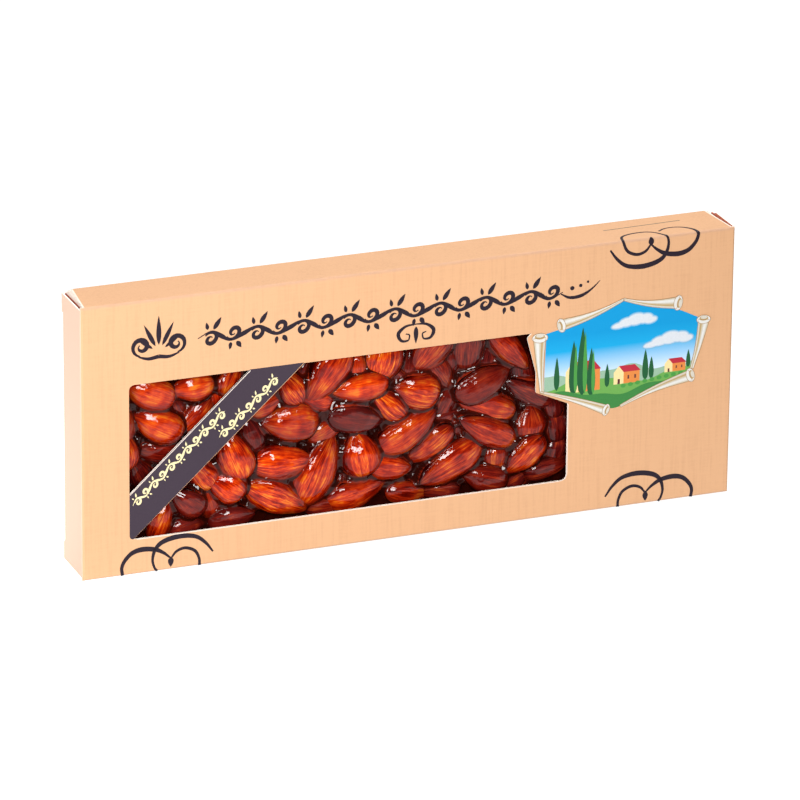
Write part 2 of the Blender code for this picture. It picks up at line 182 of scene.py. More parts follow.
# ---------------------------------------------------------------- material helpers
class Graph:
    """A material's nodes, made one at a time and wired by keyword."""

    def __init__(self, name):
        self.material = bpy.data.materials.new(name)
        self.material.use_nodes = True
        self.nodes = self.material.node_tree.nodes
        self.links = self.material.node_tree.links
        self.shader = self.nodes["Principled BSDF"]

    def set(self, socket, value):
        if isinstance(value, bpy.types.NodeSocket):
            self.links.new(value, socket)
        elif socket.type == "RGBA":
            socket.default_value = (*value, 1)
        else:
            socket.default_value = value

    def node(self, kind, settings=None, **inputs):
        """A new node; an input is a socket's name, or its number after an i."""
        made = self.nodes.new(kind)
        for key, value in (settings or {}).items():
            setattr(made, key, value)
        for key, value in inputs.items():
            self.set(made.inputs[int(key[1:]) if key[1:].isdigit() else key], value)
        return made

    def maths(self, operation, a, b=0.0, clamp=False):
        settings = {"operation": operation, "use_clamp": clamp}
        return self.node("ShaderNodeMath", settings, i0=a, i1=b).outputs[0]

    def add(self, a, b, clamp=False):
        return self.maths("ADD", a, b, clamp)

    def less(self, a, b, clamp=False):
        return self.maths("SUBTRACT", a, b, clamp)

    def times(self, a, b, clamp=False):
        return self.maths("MULTIPLY", a, b, clamp)

    def swing(self, noise, gain):
        """Noise about 0.5 as a gain's worth of change about 0."""
        return self.times(self.less(noise, 0.5), gain)

    def distance(self, a, b):
        return self.maths("SQRT", self.add(self.times(a, a), self.times(b, b)))

    def mix(self, factor, a, b, blend="MIX"):
        made = self.node("ShaderNodeMix", {"data_type": "RGBA", "blend_type": blend})
        for number, value in ((0, factor), (6, a), (7, b)):
            self.set(made.inputs[number], value)
        return made.outputs[2]

    def place(self):
        return self.node("ShaderNodeTexCoord").outputs["Object"]

    def split(self, vector):
        return self.node("ShaderNodeSeparateXYZ", None, Vector=vector).outputs

    def vector(self, operation, a, b):
        return self.node("ShaderNodeVectorMath", {"operation": operation}, i0=a, i1=b).outputs[0]

    def noise(self, vector, scale, detail=2.0, roughness=0.5, distortion=0.0):
        return self.node(
            "ShaderNodeTexNoise",
            None,
            Vector=vector,
            Scale=scale,
            Detail=detail,
            Roughness=roughness,
            Distortion=distortion,
        ).outputs["Fac"]

    def stretched_noise(self, scales, detail):
        """Noise of the object's place with a scale for each axis."""
        return self.noise(self.vector("MULTIPLY", self.place(), scales), 1.0, detail)

    def fade(self, value, low, high, at_low, at_high, kind="SMOOTHSTEP"):
        """A step from at_low to at_high as the value runs from low to high."""
        return self.node(
            "ShaderNodeMapRange",
            {"interpolation_type": kind},
            Value=value,
            i1=low,
            i2=high,
            i3=at_low,
            i4=at_high,
        ).outputs[0]

    def ramp(self, factor, stops, smooth=False):
        made = self.node("ShaderNodeValToRGB", None, Fac=factor)
        ramp = made.color_ramp
        ramp.interpolation = "EASE" if smooth else "LINEAR"
        while len(ramp.elements) < len(stops):
            ramp.elements.new(0.5)
        for element, (at, colour) in zip(ramp.elements, stops):
            element.position = at
            element.color = (*colour, 1)
        return made.outputs["Color"]

    def attribute(self, name, output="Fac"):
        return self.node("ShaderNodeAttribute", {"attribute_name": name}).outputs[output]

    def bump(self, height, distance, strength=1.0, normal=None):
        inputs = {"Height": height, "Distance": distance, "Strength": strength}
        if normal is not None:
            inputs["Normal"] = normal
        return self.node("ShaderNodeBump", None, **inputs).outputs["Normal"]

    def finish(self, **sockets):
        for key, value in sockets.items():
            self.set(self.shader.inputs[key.replace("_", " ")], value)
        return self.material


LINEN_PITCH = 0.55 * MM
LINEN_DEPTH = 0.012 * MM


def linen(graph):
    """A normal for the board's fine embossed weave: two crossed waves, broken up by noise."""
    x, y, z = graph.split(graph.place())
    turn = 2 * math.pi / LINEN_PITCH
    along, across = (
        graph.maths("SINE", graph.times(graph.add(run, y), turn)) for run in (x, z)
    )
    threads = graph.add(
        graph.stretched_noise((400, 400, 2500), 3), graph.stretched_noise((2500, 400, 400), 3)
    )
    height = graph.add(graph.times(graph.add(along, across), 0.35), graph.times(threads, 1.6))
    return graph.bump(height, LINEN_DEPTH, 0.8)


def printed(graph, colour, roughness=0.5):
    """Finish a print's material, its colour over the board's linen grain."""
    return graph.finish(
        Base_Color=colour, Roughness=roughness, Specular_IOR_Level=0.2, Normal=linen(graph)
    )


PEACH = (0.600, 0.336, 0.179)
PEACH_PALE = (0.64, 0.39, 0.235)
FLECK = (0.49, 0.265, 0.135)
THREAD = (0.42, 0.22, 0.11)
# Colour of the wear along the top fold, used too for the painted contact shadow along the foot.
WEAR_AND_FOOT_SHADE = (0.49, 0.30, 0.21)
# Colour of the painted sheen on the two end panels.
END_PAINTED_SHEEN = (0.76, 0.495, 0.37)
CREASE = (0.78, 0.66, 0.56)
CREASE_WIDTH = 0.45 * MM
WORN_TOP = 1.1 * MM
# Reach of the painted contact shadow along the foot.
FOOT_SHADE_REACH = 0.9 * MM


def near_fold(graph, y, z, fold_z, reach):
    """1 on the front's fold at a height, falling to 0 at reach from it."""
    away = graph.distance(graph.less(y, FRONT), graph.less(z, fold_z))
    return graph.less(1.0, graph.maths("DIVIDE", away, reach), clamp=True)


def peach_board():
    """Peach print over a linen grain, worn along the top fold, with a painted contact shadow
    along the foot and a painted sheen that makes the two ends paler.
    """
    graph = Graph("peach_board")
    x, y, z = graph.split(graph.place())
    cloudy = graph.noise(graph.place(), 14, 3)
    colour = graph.mix(graph.times(cloudy, 0.25), PEACH, PEACH_PALE)
    fleck = graph.swing(graph.stretched_noise((500, 500, 1600), 3), 0.18)
    colour = graph.mix(graph.add(fleck, 0.04, clamp=True), colour, FLECK)
    warp = graph.stretched_noise((1300, 1300, 60), 2)
    weft = graph.stretched_noise((120, 120, 1500), 2)
    weave = graph.less(graph.add(warp, graph.times(weft, 0.5)), 0.72)
    colour = graph.mix(graph.times(weave, 0.7, clamp=True), colour, THREAD)
    out = graph.maths("ABSOLUTE", x)
    # Painted sheen: the end panels take a paler colour in place of the sheen they catch at a
    # grazing angle.
    sheen_at_end = graph.fade(out, WIDTH / 2 - 0.3 * MM, WIDTH / 2 - 0.05 * MM, 0.0, 1.0)
    colour = graph.mix(sheen_at_end, colour, END_PAINTED_SHEEN)
    slant = (TOP_EDGE_INSET_BACK - TOP_EDGE_INSET_FRONT) / DEPTH
    edge = graph.add(out, graph.times(y, slant))
    reach = WIDTH / 2 - TOP_EDGE_INSET_FRONT + FRONT * slant
    folded = graph.fade(edge, reach - CREASE_WIDTH, reach - 0.6 * CREASE_WIDTH, 0.0, 1.0)
    on_top = graph.maths("GREATER_THAN", z, HEIGHT - FUSE)
    colour = graph.mix(graph.times(folded, on_top), colour, CREASE)
    # Wear along the top fold, and a painted contact shadow where the foot meets the floor, in one
    # colour.
    wear_and_shade = graph.maths(
        "MAXIMUM", near_fold(graph, y, z, HEIGHT, WORN_TOP), near_fold(graph, y, z, 0, FOOT_SHADE_REACH)
    )
    broken = graph.add(graph.noise(graph.place(), 900, 2), 0.35, clamp=True)
    colour = graph.mix(graph.times(wear_and_shade, broken, clamp=True), colour, WEAR_AND_FOOT_SHADE)
    return printed(graph, colour, 0.65)


# Unprinted boards: grain scale and detail, two (noise value, colour) stops, roughness, gloss.
BARE_BOARDS = {
    "cut_edge": (2200, 3, (0.3, (0.78, 0.70, 0.60)), (0.6, (0.95, 0.90, 0.82)), 0.85, 0.2),
    # The inside's red-brown is painted shade: shadow warmed by light bounced off the peach board.
    "inside_painted_shade": (700, 4, (0.3, (0.50, 0.15, 0.09)), (0.7, (0.64, 0.21, 0.13)), 0.9, 0.2),
    "pale_board": (900, 3, (0.3, (0.64, 0.52, 0.44)), (0.65, (0.74, 0.64, 0.56)), 0.7, 0.3),
}


def bare_board(name):
    """Unprinted board, two colours mixed in a grain of fibres."""
    scale, detail, dark, pale, roughness, gloss = BARE_BOARDS[name]
    graph = Graph(name)
    fibres = graph.noise(graph.place(), scale, detail)
    return graph.finish(
        Base_Color=graph.ramp(fibres, (dark, pale)), Roughness=roughness, Specular_IOR_Level=gloss
    )


# ---------------------------------------------------------------- mesh helpers
def closed_object(name, points, faces, materials):
    """An object of one closed mesh, or of several, with the faces turned outwards."""
    mesh = bpy.data.meshes.new(name)
    mesh.from_pydata([tuple(point) for point in points], [], faces)
    for made in materials:
        mesh.materials.append(made)
    bm = bmesh.new()
    bm.from_mesh(mesh)
    bmesh.ops.recalc_face_normals(bm, faces=bm.faces)
    bm.to_mesh(mesh)
    bm.free()
    return add_object(name, mesh)


def board_piece(name, points, faces, materials):
    """A closed piece of the board or its print, which goes with the carton."""
    piece = closed_object(name, points, faces, materials)
    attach(piece, "root")
    return piece


def point_values(mesh, name, values):
    layer = mesh.attributes.new(name, "FLOAT", "POINT")
    layer.data.foreach_set("value", np.asarray(values, np.float32))


def point_vectors(mesh, name, values):
    layer = mesh.attributes.new(name, "FLOAT_VECTOR", "POINT")
    layer.data.foreach_set("vector", np.asarray(values, np.float32).reshape(-1))


# ---------------------------------------------------------------- the carton
SLACK = 0.02 * MM
FOLD_SLACK = 0.1 * MM
WELD = 0.002 * MM
PRINTED, CUT, INSIDE_SHADE = 0, 1, 2


def on_hull(point):
    """True where a point lies on the carton's outer surface, its rounded folds included."""
    out_x, out_y = abs(point.x) - WIDTH / 2, abs(point.y) - DEPTH / 2
    if abs(out_x) < SLACK or abs(out_y) < SLACK:
        return True
    if point.z < SLACK or point.z > HEIGHT - SLACK:
        return True
    for dy, dz in (
        (out_y + FOLD_RADIUS, point.z - (HEIGHT - FOLD_RADIUS)),
        (out_y + FOLD_RADIUS, FOLD_RADIUS - point.z),
        (FOLD_RADIUS - point.y - DEPTH / 2, out_x + FOLD_RADIUS),
    ):
        if dy > -SLACK and dz > -SLACK and math.hypot(dy, dz) > FOLD_RADIUS - FOLD_SLACK:
            return True
    return False


def in_hollow(point):
    return (
        abs(point.x) < WIDTH / 2 - BOARD + SLACK
        and abs(point.y) < DEPTH / 2 - BOARD + SLACK
        and BOARD - SLACK < point.z < HEIGHT - BOARD + SLACK
    )


def board_side(face):
    """Whether a face of the carton is printed, a cut edge or an inside face in painted shade."""
    middle, normal = face.calc_center_median(), face.normal
    outside = abs(middle.x) - (WIDTH / 2 - BOARD)
    if all(on_hull(vert.co) for vert in face.verts):
        return PRINTED
    # The inside, the ends' inner faces and the right closure's top edge take the painted shade
    # colour.
    if all(in_hollow(vert.co) for vert in face.verts):
        return INSIDE_SHADE
    if abs(outside) < FUSE and normal.x * middle.x < 0:
        return INSIDE_SHADE
    if middle.x > WIDTH / 2 - BOARD and normal.z > 0.9:
        return INSIDE_SHADE
    return PRINTED if outside > 0 and normal.y > 0.2 else CUT


def make_board():
    """The carton's solid, with a material for each kind of face."""
    bm = bmesh.new()
    bm.from_mesh(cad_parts["carton"].data)
    bmesh.ops.remove_doubles(bm, verts=bm.verts, dist=WELD)
    bmesh.ops.dissolve_limit(bm, angle_limit=math.radians(1), verts=bm.verts, edges=bm.edges)
    for face in bm.faces:
        face.material_index = board_side(face)
        face.smooth = False
    mesh = bpy.data.meshes.new("board")
    bm.to_mesh(mesh)
    bm.free()
    for made in (peach_board(), bare_board("cut_edge"), bare_board("inside_painted_shade")):
        mesh.materials.append(made)
    board = add_object("board", mesh)
    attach(board, "root")
    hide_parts("carton")


FLAP_GAP = 0.75 * MM
FLAP_DEPTH = 9 * MM
FLAP_THICK = 0.4 * MM
FLAP_TOP = HEIGHT - 0.05 * MM
FLAP_FALL = 1.3 * MM
FLAP_SHOULDER = 0.4 * MM
FLAP_INNER_SHOULDER = 0.6 * MM
FLAP_FRONT_CLEAR = 1.3 * MM
FLAP_BACK_CLEAR = 0.7 * MM
FLAP_ROWS = 9


def flap_section(y):
    """The right flap's outline at a depth, as (x, z) points: skin down, then up its inner side."""
    share = (y - FRONT) / DEPTH
    inset = TOP_EDGE_INSET_FRONT + (TOP_EDGE_INSET_BACK - TOP_EDGE_INSET_FRONT) * share
    inner = WIDTH / 2 - inset - FUSE
    reach = max(WIDTH / 2 - BOARD - FLAP_GAP - inner, FUSE)
    outer = inner + reach
    section = [(inner, FLAP_TOP)]
    for turn in (20, 40, 60, 80):
        angle = math.radians(turn)
        fall = FLAP_FALL * (1 - math.cos(angle))
        section.append((inner + reach * math.sin(angle), FLAP_TOP - fall))
    return section + [
        (outer, HEIGHT - FLAP_FALL - FLAP_SHOULDER),
        (outer, HEIGHT - FLAP_DEPTH),
        (outer - FLAP_THICK, HEIGHT - FLAP_DEPTH),
        (outer - FLAP_THICK, HEIGHT - FLAP_FALL - FLAP_INNER_SHOULDER),
        (inner, HEIGHT - FLAP_THICK),
    ]


def make_dust_flaps():
    """The flaps that bend down from the top panel's ends, just inside the closures."""
    points, faces = [], []
    first = FRONT + FLAP_FRONT_CLEAR
    run = DEPTH - FLAP_FRONT_CLEAR - FLAP_BACK_CLEAR
    for side in (-1, 1):
        start = len(points)
        for k in range(FLAP_ROWS):
            y = first + run * k / (FLAP_ROWS - 1)
            points += [(side * x, y, z) for x, z in flap_section(y)]
        loop = (len(points) - start) // FLAP_ROWS
        last = start + (FLAP_ROWS - 1) * loop
        for a in range(start, last, loop):
            for i in range(loop):
                k = (i + 1) % loop
                faces.append((a + i, a + k, a + k + loop, a + i + loop))
        faces.append(tuple(range(start, start + loop)))
        faces.append(tuple(reversed(range(last, last + loop))))
    boards = bare_board("pale_board"), bare_board("inside_painted_shade")
    flaps = board_piece("dust_flaps", points, faces, boards)
    for face in flaps.data.polygons:
        # Flap faces in the gap under the closure's edge take the inside's painted shade colour, not
        # the pale board.
        in_gap = face.center.z < HEIGHT - CLOSURE_DROP and face.center.x * face.normal.x > 0.05
        face.material_index = 1 if in_gap else 0


LIP_FRONT, LIP_BACK = 1.6 * MM, 0.8 * MM
LIP_DEPTH = 1.4 * MM
LIP_SLOPE = 3.2 * MM
LIP_CLEAR = 0.03 * MM


def make_lip():
    """The right closure's upper edge, which stands up beside the top panel, its inner face in
    painted shade.
    """
    near, far = WIDTH / 2 - BOARD + LIP_CLEAR, WIDTH / 2 - LIP_CLEAR
    low, high = HEIGHT - LIP_DEPTH, HEIGHT - LIP_CLEAR
    start, end = FRONT + LIP_FRONT, BACK - LIP_BACK
    side = [(start, low), (end, low), (end - LIP_SLOPE, high), (start, high)]
    points = [(x, y, z) for x in (near, far) for y, z in side]
    faces = [(0, 1, 2, 3), (7, 6, 5, 4), (0, 4, 5, 1), (1, 5, 6, 2), (2, 6, 7, 3), (3, 7, 4, 0)]
    # The first face, the lip's inner side, takes the painted shade colour.
    boards = bare_board("inside_painted_shade"), peach_board(), bare_board("cut_edge")
    lip = board_piece("closure_lip", points, faces, boards)
    for face, number in zip(lip.data.polygons, (0, 1, 2, 2, 2, 2)):
        face.material_index = number


# ---------------------------------------------------------------- ink on the board
# Strokes and fields are drawn in mm on the flat blank: u from the panel's left edge, v from its
# lower edge and on over the top fold. Each is a thin closed piece sunk into the board.
INK_LIFT = 0.02 * MM
INK_STEP = 0.003 * MM
INK_SINK = 0.12 * MM


def on_board(u, v, lift):
    """A point of the blank in the world, lift metres off the board."""
    x, v = LEFT + u * MM, v * MM
    rise = v - (HEIGHT - FOLD_RADIUS)
    if rise <= 0:
        return (x, FRONT - lift, v)
    turn = min(rise / (2 * FOLD_RADIUS), 1) * math.pi / 2
    reach = FOLD_RADIUS + lift
    y = FRONT + FOLD_RADIUS - reach * math.cos(turn) + max(rise - 2 * FOLD_RADIUS, 0)
    return (x, y, HEIGHT - FOLD_RADIUS + reach * math.sin(turn))


class Print:
    """One piece of print: strokes and filled fields, each in one of its inks."""

    def __init__(self, name, inks):
        self.name, self.inks = name, inks
        self.points, self.faces, self.inked = [], [], []

    def prism(self, front, back, sides, ink):
        """Join a front and a back loop; sides is how the front's faces run over its loop."""
        start, count = len(self.points), len(front)
        self.points += front + back
        faces = [tuple(start + i for i in face) for face in sides]
        faces += [tuple(start + count + i for i in reversed(face)) for face in sides]
        for i in range(count):
            k = (i + 1) % count
            faces.append((start + k, start + i, start + count + i, start + count + k))
        self.faces += faces
        self.inked += [self.inks.index(ink)] * len(faces)

    def field(self, outline, ink, level=0):
        lift = INK_LIFT + level * INK_STEP
        front = [on_board(u, v, lift) for u, v in outline]
        back = [on_board(u, v, -INK_SINK) for u, v in outline]
        self.prism(front, back, [tuple(range(len(front)))], ink)

    def stroke(self, path, ink, level=0):
        along = np.gradient(path[:, :2], axis=0)
        along /= np.linalg.norm(along, axis=1, keepdims=True) + 1e-9
        across = np.stack([-along[:, 1], along[:, 0]], -1) * path[:, 2:] / 2
        count = len(path)
        loop = np.concatenate([path[:, :2] + across, (path[:, :2] - across)[::-1]])
        rises = np.linspace(0, 3, count)
        lifts = INK_LIFT + (level + np.concatenate([rises, rises[::-1]])) * INK_STEP
        front = [on_board(*point, lift) for point, lift in zip(loop, lifts)]
        back = [on_board(*point, -INK_SINK) for point in loop]
        quads = [(i, i + 1, 2 * count - 2 - i, 2 * count - 1 - i) for i in range(count - 1)]
        self.prism(front, back, quads, ink)

    def strokes(self, paths, ink):
        """Strokes over one another, no two neighbours in the list at the same lift."""
        for number, path in enumerate(paths):
            self.stroke(path, ink, number % 4)

    def bare_edge(self, points, paper):
        """The paper's white core along a cut; the board lies to the right of the way it runs."""
        path = np.array([(u, v, BARE_WIDTH) for u, v in points])
        steps = np.gradient(path[:, :2], axis=0)
        steps /= np.linalg.norm(steps, axis=1, keepdims=True)
        path[:, :2] += np.stack([steps[:, 1], -steps[:, 0]], -1) * (BARE_WIDTH / 2 + EDGE_CLEAR)
        self.stroke(path, paper, 6)

    def make(self):
        piece = board_piece(self.name, self.points, self.faces, self.inks)
        piece.data.polygons.foreach_set("material_index", self.inked)


def ink(name, colour):
    """Printing ink: nearly even colour, a little worn off by the board's grain."""
    graph = Graph(name)
    grain = graph.noise(graph.place(), 1500, 2)
    shade = tuple(0.8 * part for part in colour)
    return printed(graph, graph.mix(graph.times(grain, 0.7), colour, shade))


SKY_FOOT, SKY_TOP = 46 * MM, 66 * MM
SKY_COLOURS = (
    (0.0, (0.68, 0.72, 0.80)), (0.30, (0.34, 0.53, 0.72)), (0.62, (0.004, 0.31, 0.60)),
    (0.9, (0.0, 0.255, 0.54)),
)


def sky_ink():
    """Strong blue at the top of the view, paling to white where it meets the land."""
    graph = Graph("ink_sky")
    height = graph.split(graph.place())[2]
    share = graph.fade(height, SKY_FOOT, SKY_TOP, 0.0, 1.0, "LINEAR")
    return printed(graph, graph.ramp(share, SKY_COLOURS))


PLUM = (0.016, 0.009, 0.017)
BAND = (0.042, 0.028, 0.042)
CREAM = (0.76, 0.66, 0.37)
BARE = (0.78, 0.66, 0.58)
BARE_WIDTH = 0.24
EDGE_CLEAR = 0.06
LINE_INK = (0.15, 0.14, 0.09)
PICTURE_COLOURS = {
    "cloud": (0.60, 0.63, 0.67), "haze": (0.40, 0.53, 0.65), "mist": (0.16, 0.40, 0.60),
    "far": (0.27, 0.42, 0.30), "middle": (0.13, 0.34, 0.07), "near": (0.04, 0.20, 0.045),
    "cypress": (0.012, 0.09, 0.03), "leaf": (0.06, 0.27, 0.05),
    "wall": (0.78, 0.62, 0.30), "wall_shade": (0.66, 0.22, 0.05), "roof": (0.42, 0.02, 0.04),
    "dark": (0.10, 0.03, 0.03), "parchment": (0.58, 0.54, 0.46), "fold": (0.42, 0.29, 0.13),
    "shade": (0.52, 0.44, 0.31), "sheen": (0.66, 0.65, 0.62), "edge": (0.34, 0.20, 0.09),
}


# Ornaments are lists of strokes, each an array of (u, v, width) points in mm.
THINNEST = 0.08


def bend(points, per_part=8):
    """A smooth path through (u, v, width) points, as Catmull-Rom parts."""
    knots = np.array(points, float)
    knots = np.concatenate([[2 * knots[0] - knots[1]], knots, [2 * knots[-1] - knots[-2]]])
    path = []
    for a, b, c, d in zip(knots, knots[1:], knots[2:], knots[3:]):
        first, second, third = c - a, 2 * a - 5 * b + 4 * c - d, 3 * b - a - 3 * c + d
        for t in np.arange(per_part) / per_part:
            path.append(0.5 * (2 * b + first * t + second * t * t + third * t**3))
    path.append(knots[-2])
    path = np.array(path)
    path[:, 2] = np.clip(path[:, 2], THINNEST, None)
    return path


def curl(u, v, radius, start, turns, width, slant=0.0, end=0.3):
    """A spiral from its rim inwards; turns under 0 run clockwise, slant leans it to the right."""
    share = np.linspace(0, 1, int(14 * abs(turns)) + 6)
    around = math.radians(start) + 2 * math.pi * turns * share
    reach = radius * (1 - share * (1 - end))
    rise = reach * np.sin(around)
    across = reach * np.cos(around) + slant * rise
    thick = width * (0.25 + 0.75 * np.sin(math.pi * np.clip(share * 1.1 + 0.02, 0, 1)) ** 0.8)
    return np.stack([u + across, v + rise, thick], -1)


def drop(u, v, length, half_width, lean):
    """A leaf or teardrop from its thin foot at (u, v)."""
    t = np.linspace(0, 1, 9)
    angle = math.radians(lean)
    width = 2 * half_width * np.sin(math.pi * t**0.75) ** 0.9 + 0.06
    return np.stack([u + math.cos(angle) * length * t, v + math.sin(angle) * length * t, width], -1)


def dot(u, v, radius):
    t = np.linspace(-1, 1, 9)
    return np.stack([u + radius * t, np.full(9, v), 2 * radius * np.sqrt(1 - (0.97 * t) ** 2)], -1)


def mirrored(path, about):
    return np.stack([2 * about - path[:, 0], path[:, 1], path[:, 2]], -1)


def moved(path, u, v, angle):
    """A stroke turned about the origin and carried to (u, v)."""
    turn = math.radians(angle)
    across = u + path[:, 0] * math.cos(turn) - path[:, 1] * math.sin(turn)
    rise = v + path[:, 0] * math.sin(turn) + path[:, 1] * math.cos(turn)
    return np.stack([across, rise, path[:, 2]], -1)


def flipped(path):
    return np.stack([path[:, 0], FLIP_HEIGHT - path[:, 1], path[:, 2]], -1)


def both_ways(path, about):
    return [path, mirrored(path, about)]


def vine(count, pitch, size, leaf=1.0):
    """A running stem from the origin along u, with a curl and two leaves in each bend."""
    stem = []
    for k in range(2 * count + 1):
        side = (0, 1, 0, -1)[k % 4]
        weight = size * (0.6 if side else 1.6)
        stem.append((k * pitch / 2 + 0.6 * size * side, 1.9 * size * side, weight))
    stem[0] = (*stem[0][:2], 0.3 * size)
    stem[-1] = (*stem[-1][:2], 0.3 * size)
    strokes = [bend(stem)]
    for k in range(count):
        u = (k + 0.5) * pitch
        up = 1 if k % 2 == 0 else -1
        rise = up * size
        blade = leaf * size
        tall = leaf * (4.8 if up > 0 else 2.8) * size
        strokes += [
            curl(u + 0.4 * size, -0.7 * rise, 2.5 * size, 150 * up, -1.3 * up, 1.5 * size,
                 slant=0.25, end=0.24),
            drop(u + 1.4 * size, 2.5 * rise, tall, 0.8 * blade, 56 * up),
            drop(u - 0.6 * size, 2.6 * rise, 2.6 * blade, 0.6 * blade, 100 * up),
        ]
    return strokes


TITLE_START = (40.0, 79.6)
TITLE_COUNT = 16
TITLE_PITCH = 8.0
PALMETTE_MIDDLE = 26.6
PALMETTE_LEANS = (36, 63, 90, 117, 144)
PALMETTE_LENGTHS = (8.0, 9.8, 11.2, 9.8, 8.0)
PENDANT_MIDDLE = 116.0
PALMETTE_FOOT = ((26.6, 75.2, 1.4), (23.0, 74.8, 1.1), (19.6, 75.8, 0.5))
PENDANT = (
    (116.0, 75.0, 0.4), (112.4, 74.6, 0.9), (109.8, 72.4, 1.3), (110.8, 69.8, 1.0),
    (113.2, 69.6, 0.6), (113.7, 71.4, 0.5), (112.4, 72.0, 0.4),
)
SWASH = (
    (167.4, 79.0, 0.4), (170.6, 77.4, 1.0), (174.6, 77.6, 1.2), (178.2, 79.4, 0.7),
    (181.4, 82.2, 0.2),
)
SWASH_DOTS = ((171.4, 80.6, 0.75), (174.4, 81.2, 0.6), (177.0, 82.2, 0.45))


def title_ornament():
    """The border over the window: a palmette, a running vine, a pendant and a swash."""
    volute = curl(20.6, 79.2, 3.3, 262, -1.35, 1.7, end=0.22)
    strokes = both_ways(bend(PALMETTE_FOOT), PALMETTE_MIDDLE)
    strokes += both_ways(volute, PALMETTE_MIDDLE)
    strokes += both_ways(bend(PENDANT), PENDANT_MIDDLE)
    strokes.append(bend(SWASH))
    for lean, length in zip(PALMETTE_LEANS, PALMETTE_LENGTHS):
        near = math.radians(lean)
        start = (PALMETTE_MIDDLE + 2.6 * math.cos(near), 76.6 + 2.6 * math.sin(near))
        strokes.append(drop(*start, length - 1.2, 0.075 * length, lean))
    strokes.append(drop(PENDANT_MIDDLE, 74.2, 6.0, 0.8, -90))
    strokes += [dot(*place) for place in SWASH_DOTS]
    strokes += [moved(stroke, *TITLE_START, 0) for stroke in vine(TITLE_COUNT, TITLE_PITCH, 1.0)]
    return strokes


# The lower right corner's flourish, and how its loops close beyond the panel's edge.
CORNER_OUTER = (
    (184.8, 4.4, 0.5), (187.5, 8.0, 0.9), (191.0, 10.6, 1.2), (196.5, 11.4, 1.5),
    (202.0, 10.3, 1.4), (204.8, 8.0, 1.1), (205.8, 4.5, 0.8), (205.3, 1.8, 0.7),
)
CORNER_RIGHT = (
    (199.6, 4.2, 0.5), (202.0, 6.3, 0.9), (205.0, 7.9, 1.3), (209.5, 8.5, 1.5),
    (213.0, 7.6, 1.3), (215.5, 5.2, 1.1), (216.5, 2.8, 1.0),
)
CORNER_LEFT = (
    (199.4, 4.0, 0.5), (197.5, 6.2, 0.8), (194.5, 7.0, 0.9), (191.2, 5.6, 0.9), (189.7, 2.8, 0.8),
)
LEFT_LOOP = (
    (204.2, 0.2, 0.7), (202.4, -2.4, 0.6), (199.4, -4.0, 0.6), (194.6, -3.9, 0.6),
    (190.8, -2.4, 0.7), (189.5, 0.2, 0.8),
)
RIGHT_LOOP = (
    (216.2, 0.4, 0.9), (215.6, -1.6, 0.8), (213.4, -4.0, 0.6), (210.2, -5.2, 0.5),
    (206.8, -4.8, 0.5), (204.2, -3.2, 0.6),
)
CORNER_WEIGHT = 1.2
PANEL_MIDDLE = 115.0
FLIP_HEIGHT = 96.6


def corner_ornament(closed):
    """A looped flourish; closed draws the loops beyond the panel's edge too."""
    if closed:
        paths = (CORNER_OUTER + LEFT_LOOP + CORNER_LEFT[::-1], CORNER_RIGHT + RIGHT_LOOP)
    else:
        paths = (
            CORNER_OUTER + ((204.3, 0.2, 0.7),),
            CORNER_RIGHT + ((216.2, 0.2, 0.9),),
            CORNER_LEFT + ((189.5, 0.2, 0.8),),
        )
    strokes = [bend(path) for path in paths] + [drop(199.5, 4.4, 3.4, 0.8, -90)]
    return [stroke * (1, 1, CORNER_WEIGHT) for stroke in strokes]


TOP_LINE = ((187.0, 106.4, 0.4), (201.0, 106.9, 0.4), (215.0, 107.3, 0.4))


def make_ornaments():
    plum, olive = ink("ink_plum", PLUM), ink("ink_olive", LINE_INK)
    drawn = Print("ornaments", [plum, olive])
    drawn.strokes(title_ornament(), plum)
    lower = corner_ornament(False)
    drawn.strokes(lower + [flipped(stroke) for stroke in corner_ornament(True)], plum)
    drawn.strokes([mirrored(stroke, PANEL_MIDDLE) for stroke in lower], plum)
    drawn.stroke(bend(TOP_LINE), olive)
    drawn.make()


BAND_ANGLE = 42.2
BAND_ROWS = (((17.5, 24.3), 11), ((47.4, 44.2), 7))
BAND_PITCH = 3.9
BAND_SIZE = 0.52


def make_band():
    """The dark band across the window, with two rows of small cream scrolls."""
    dark, cream, bare = ink("ink_band", BAND), ink("ink_cream", CREAM), ink("bare_edge", BARE)
    drawn = Print("band", [dark, cream, bare])
    left, right = WINDOW_LEFT / MM, WINDOW_RIGHT / MM
    bottom, top = WINDOW_BOTTOM / MM, WINDOW_TOP / MM
    corner = 0.6 * WINDOW_CORNER / MM
    upper, upper_end = BAND_UPPER_START / MM, BAND_UPPER_END / MM
    lower, lower_end = BAND_LOWER_START / MM, BAND_LOWER_END / MM
    drawn.field(
        (
            (left, upper - EDGE_CLEAR),
            (upper_end + EDGE_CLEAR, top + 0.2),
            (lower_end - EDGE_CLEAR, top + 0.2),
            (lower, bottom + EDGE_CLEAR),
            (left + corner, bottom),
            (left + 0.3 * corner, bottom + 0.3 * corner),
            (left, bottom + corner),
        ),
        dark,
    )
    for (u, v), count in BAND_ROWS:
        for stroke in vine(count, BAND_PITCH, BAND_SIZE, 0.62):
            drawn.stroke(moved(stroke, u, v, BAND_ANGLE), cream, 2)
    for points in (
        ((left + 0.1, upper), (upper_end + 0.1, top)),
        ((lower + 1.2, bottom), (right - 2.4, bottom)),
        ((right - 2.2, bottom), (right - 0.6, bottom + 0.6), (right, bottom + 2.2)),
        ((right, bottom + 2.2), (right, TAB_FOOT_HEIGHT / MM - 0.3)),
    ):
        drawn.bare_edge(points, bare)
    drawn.make()


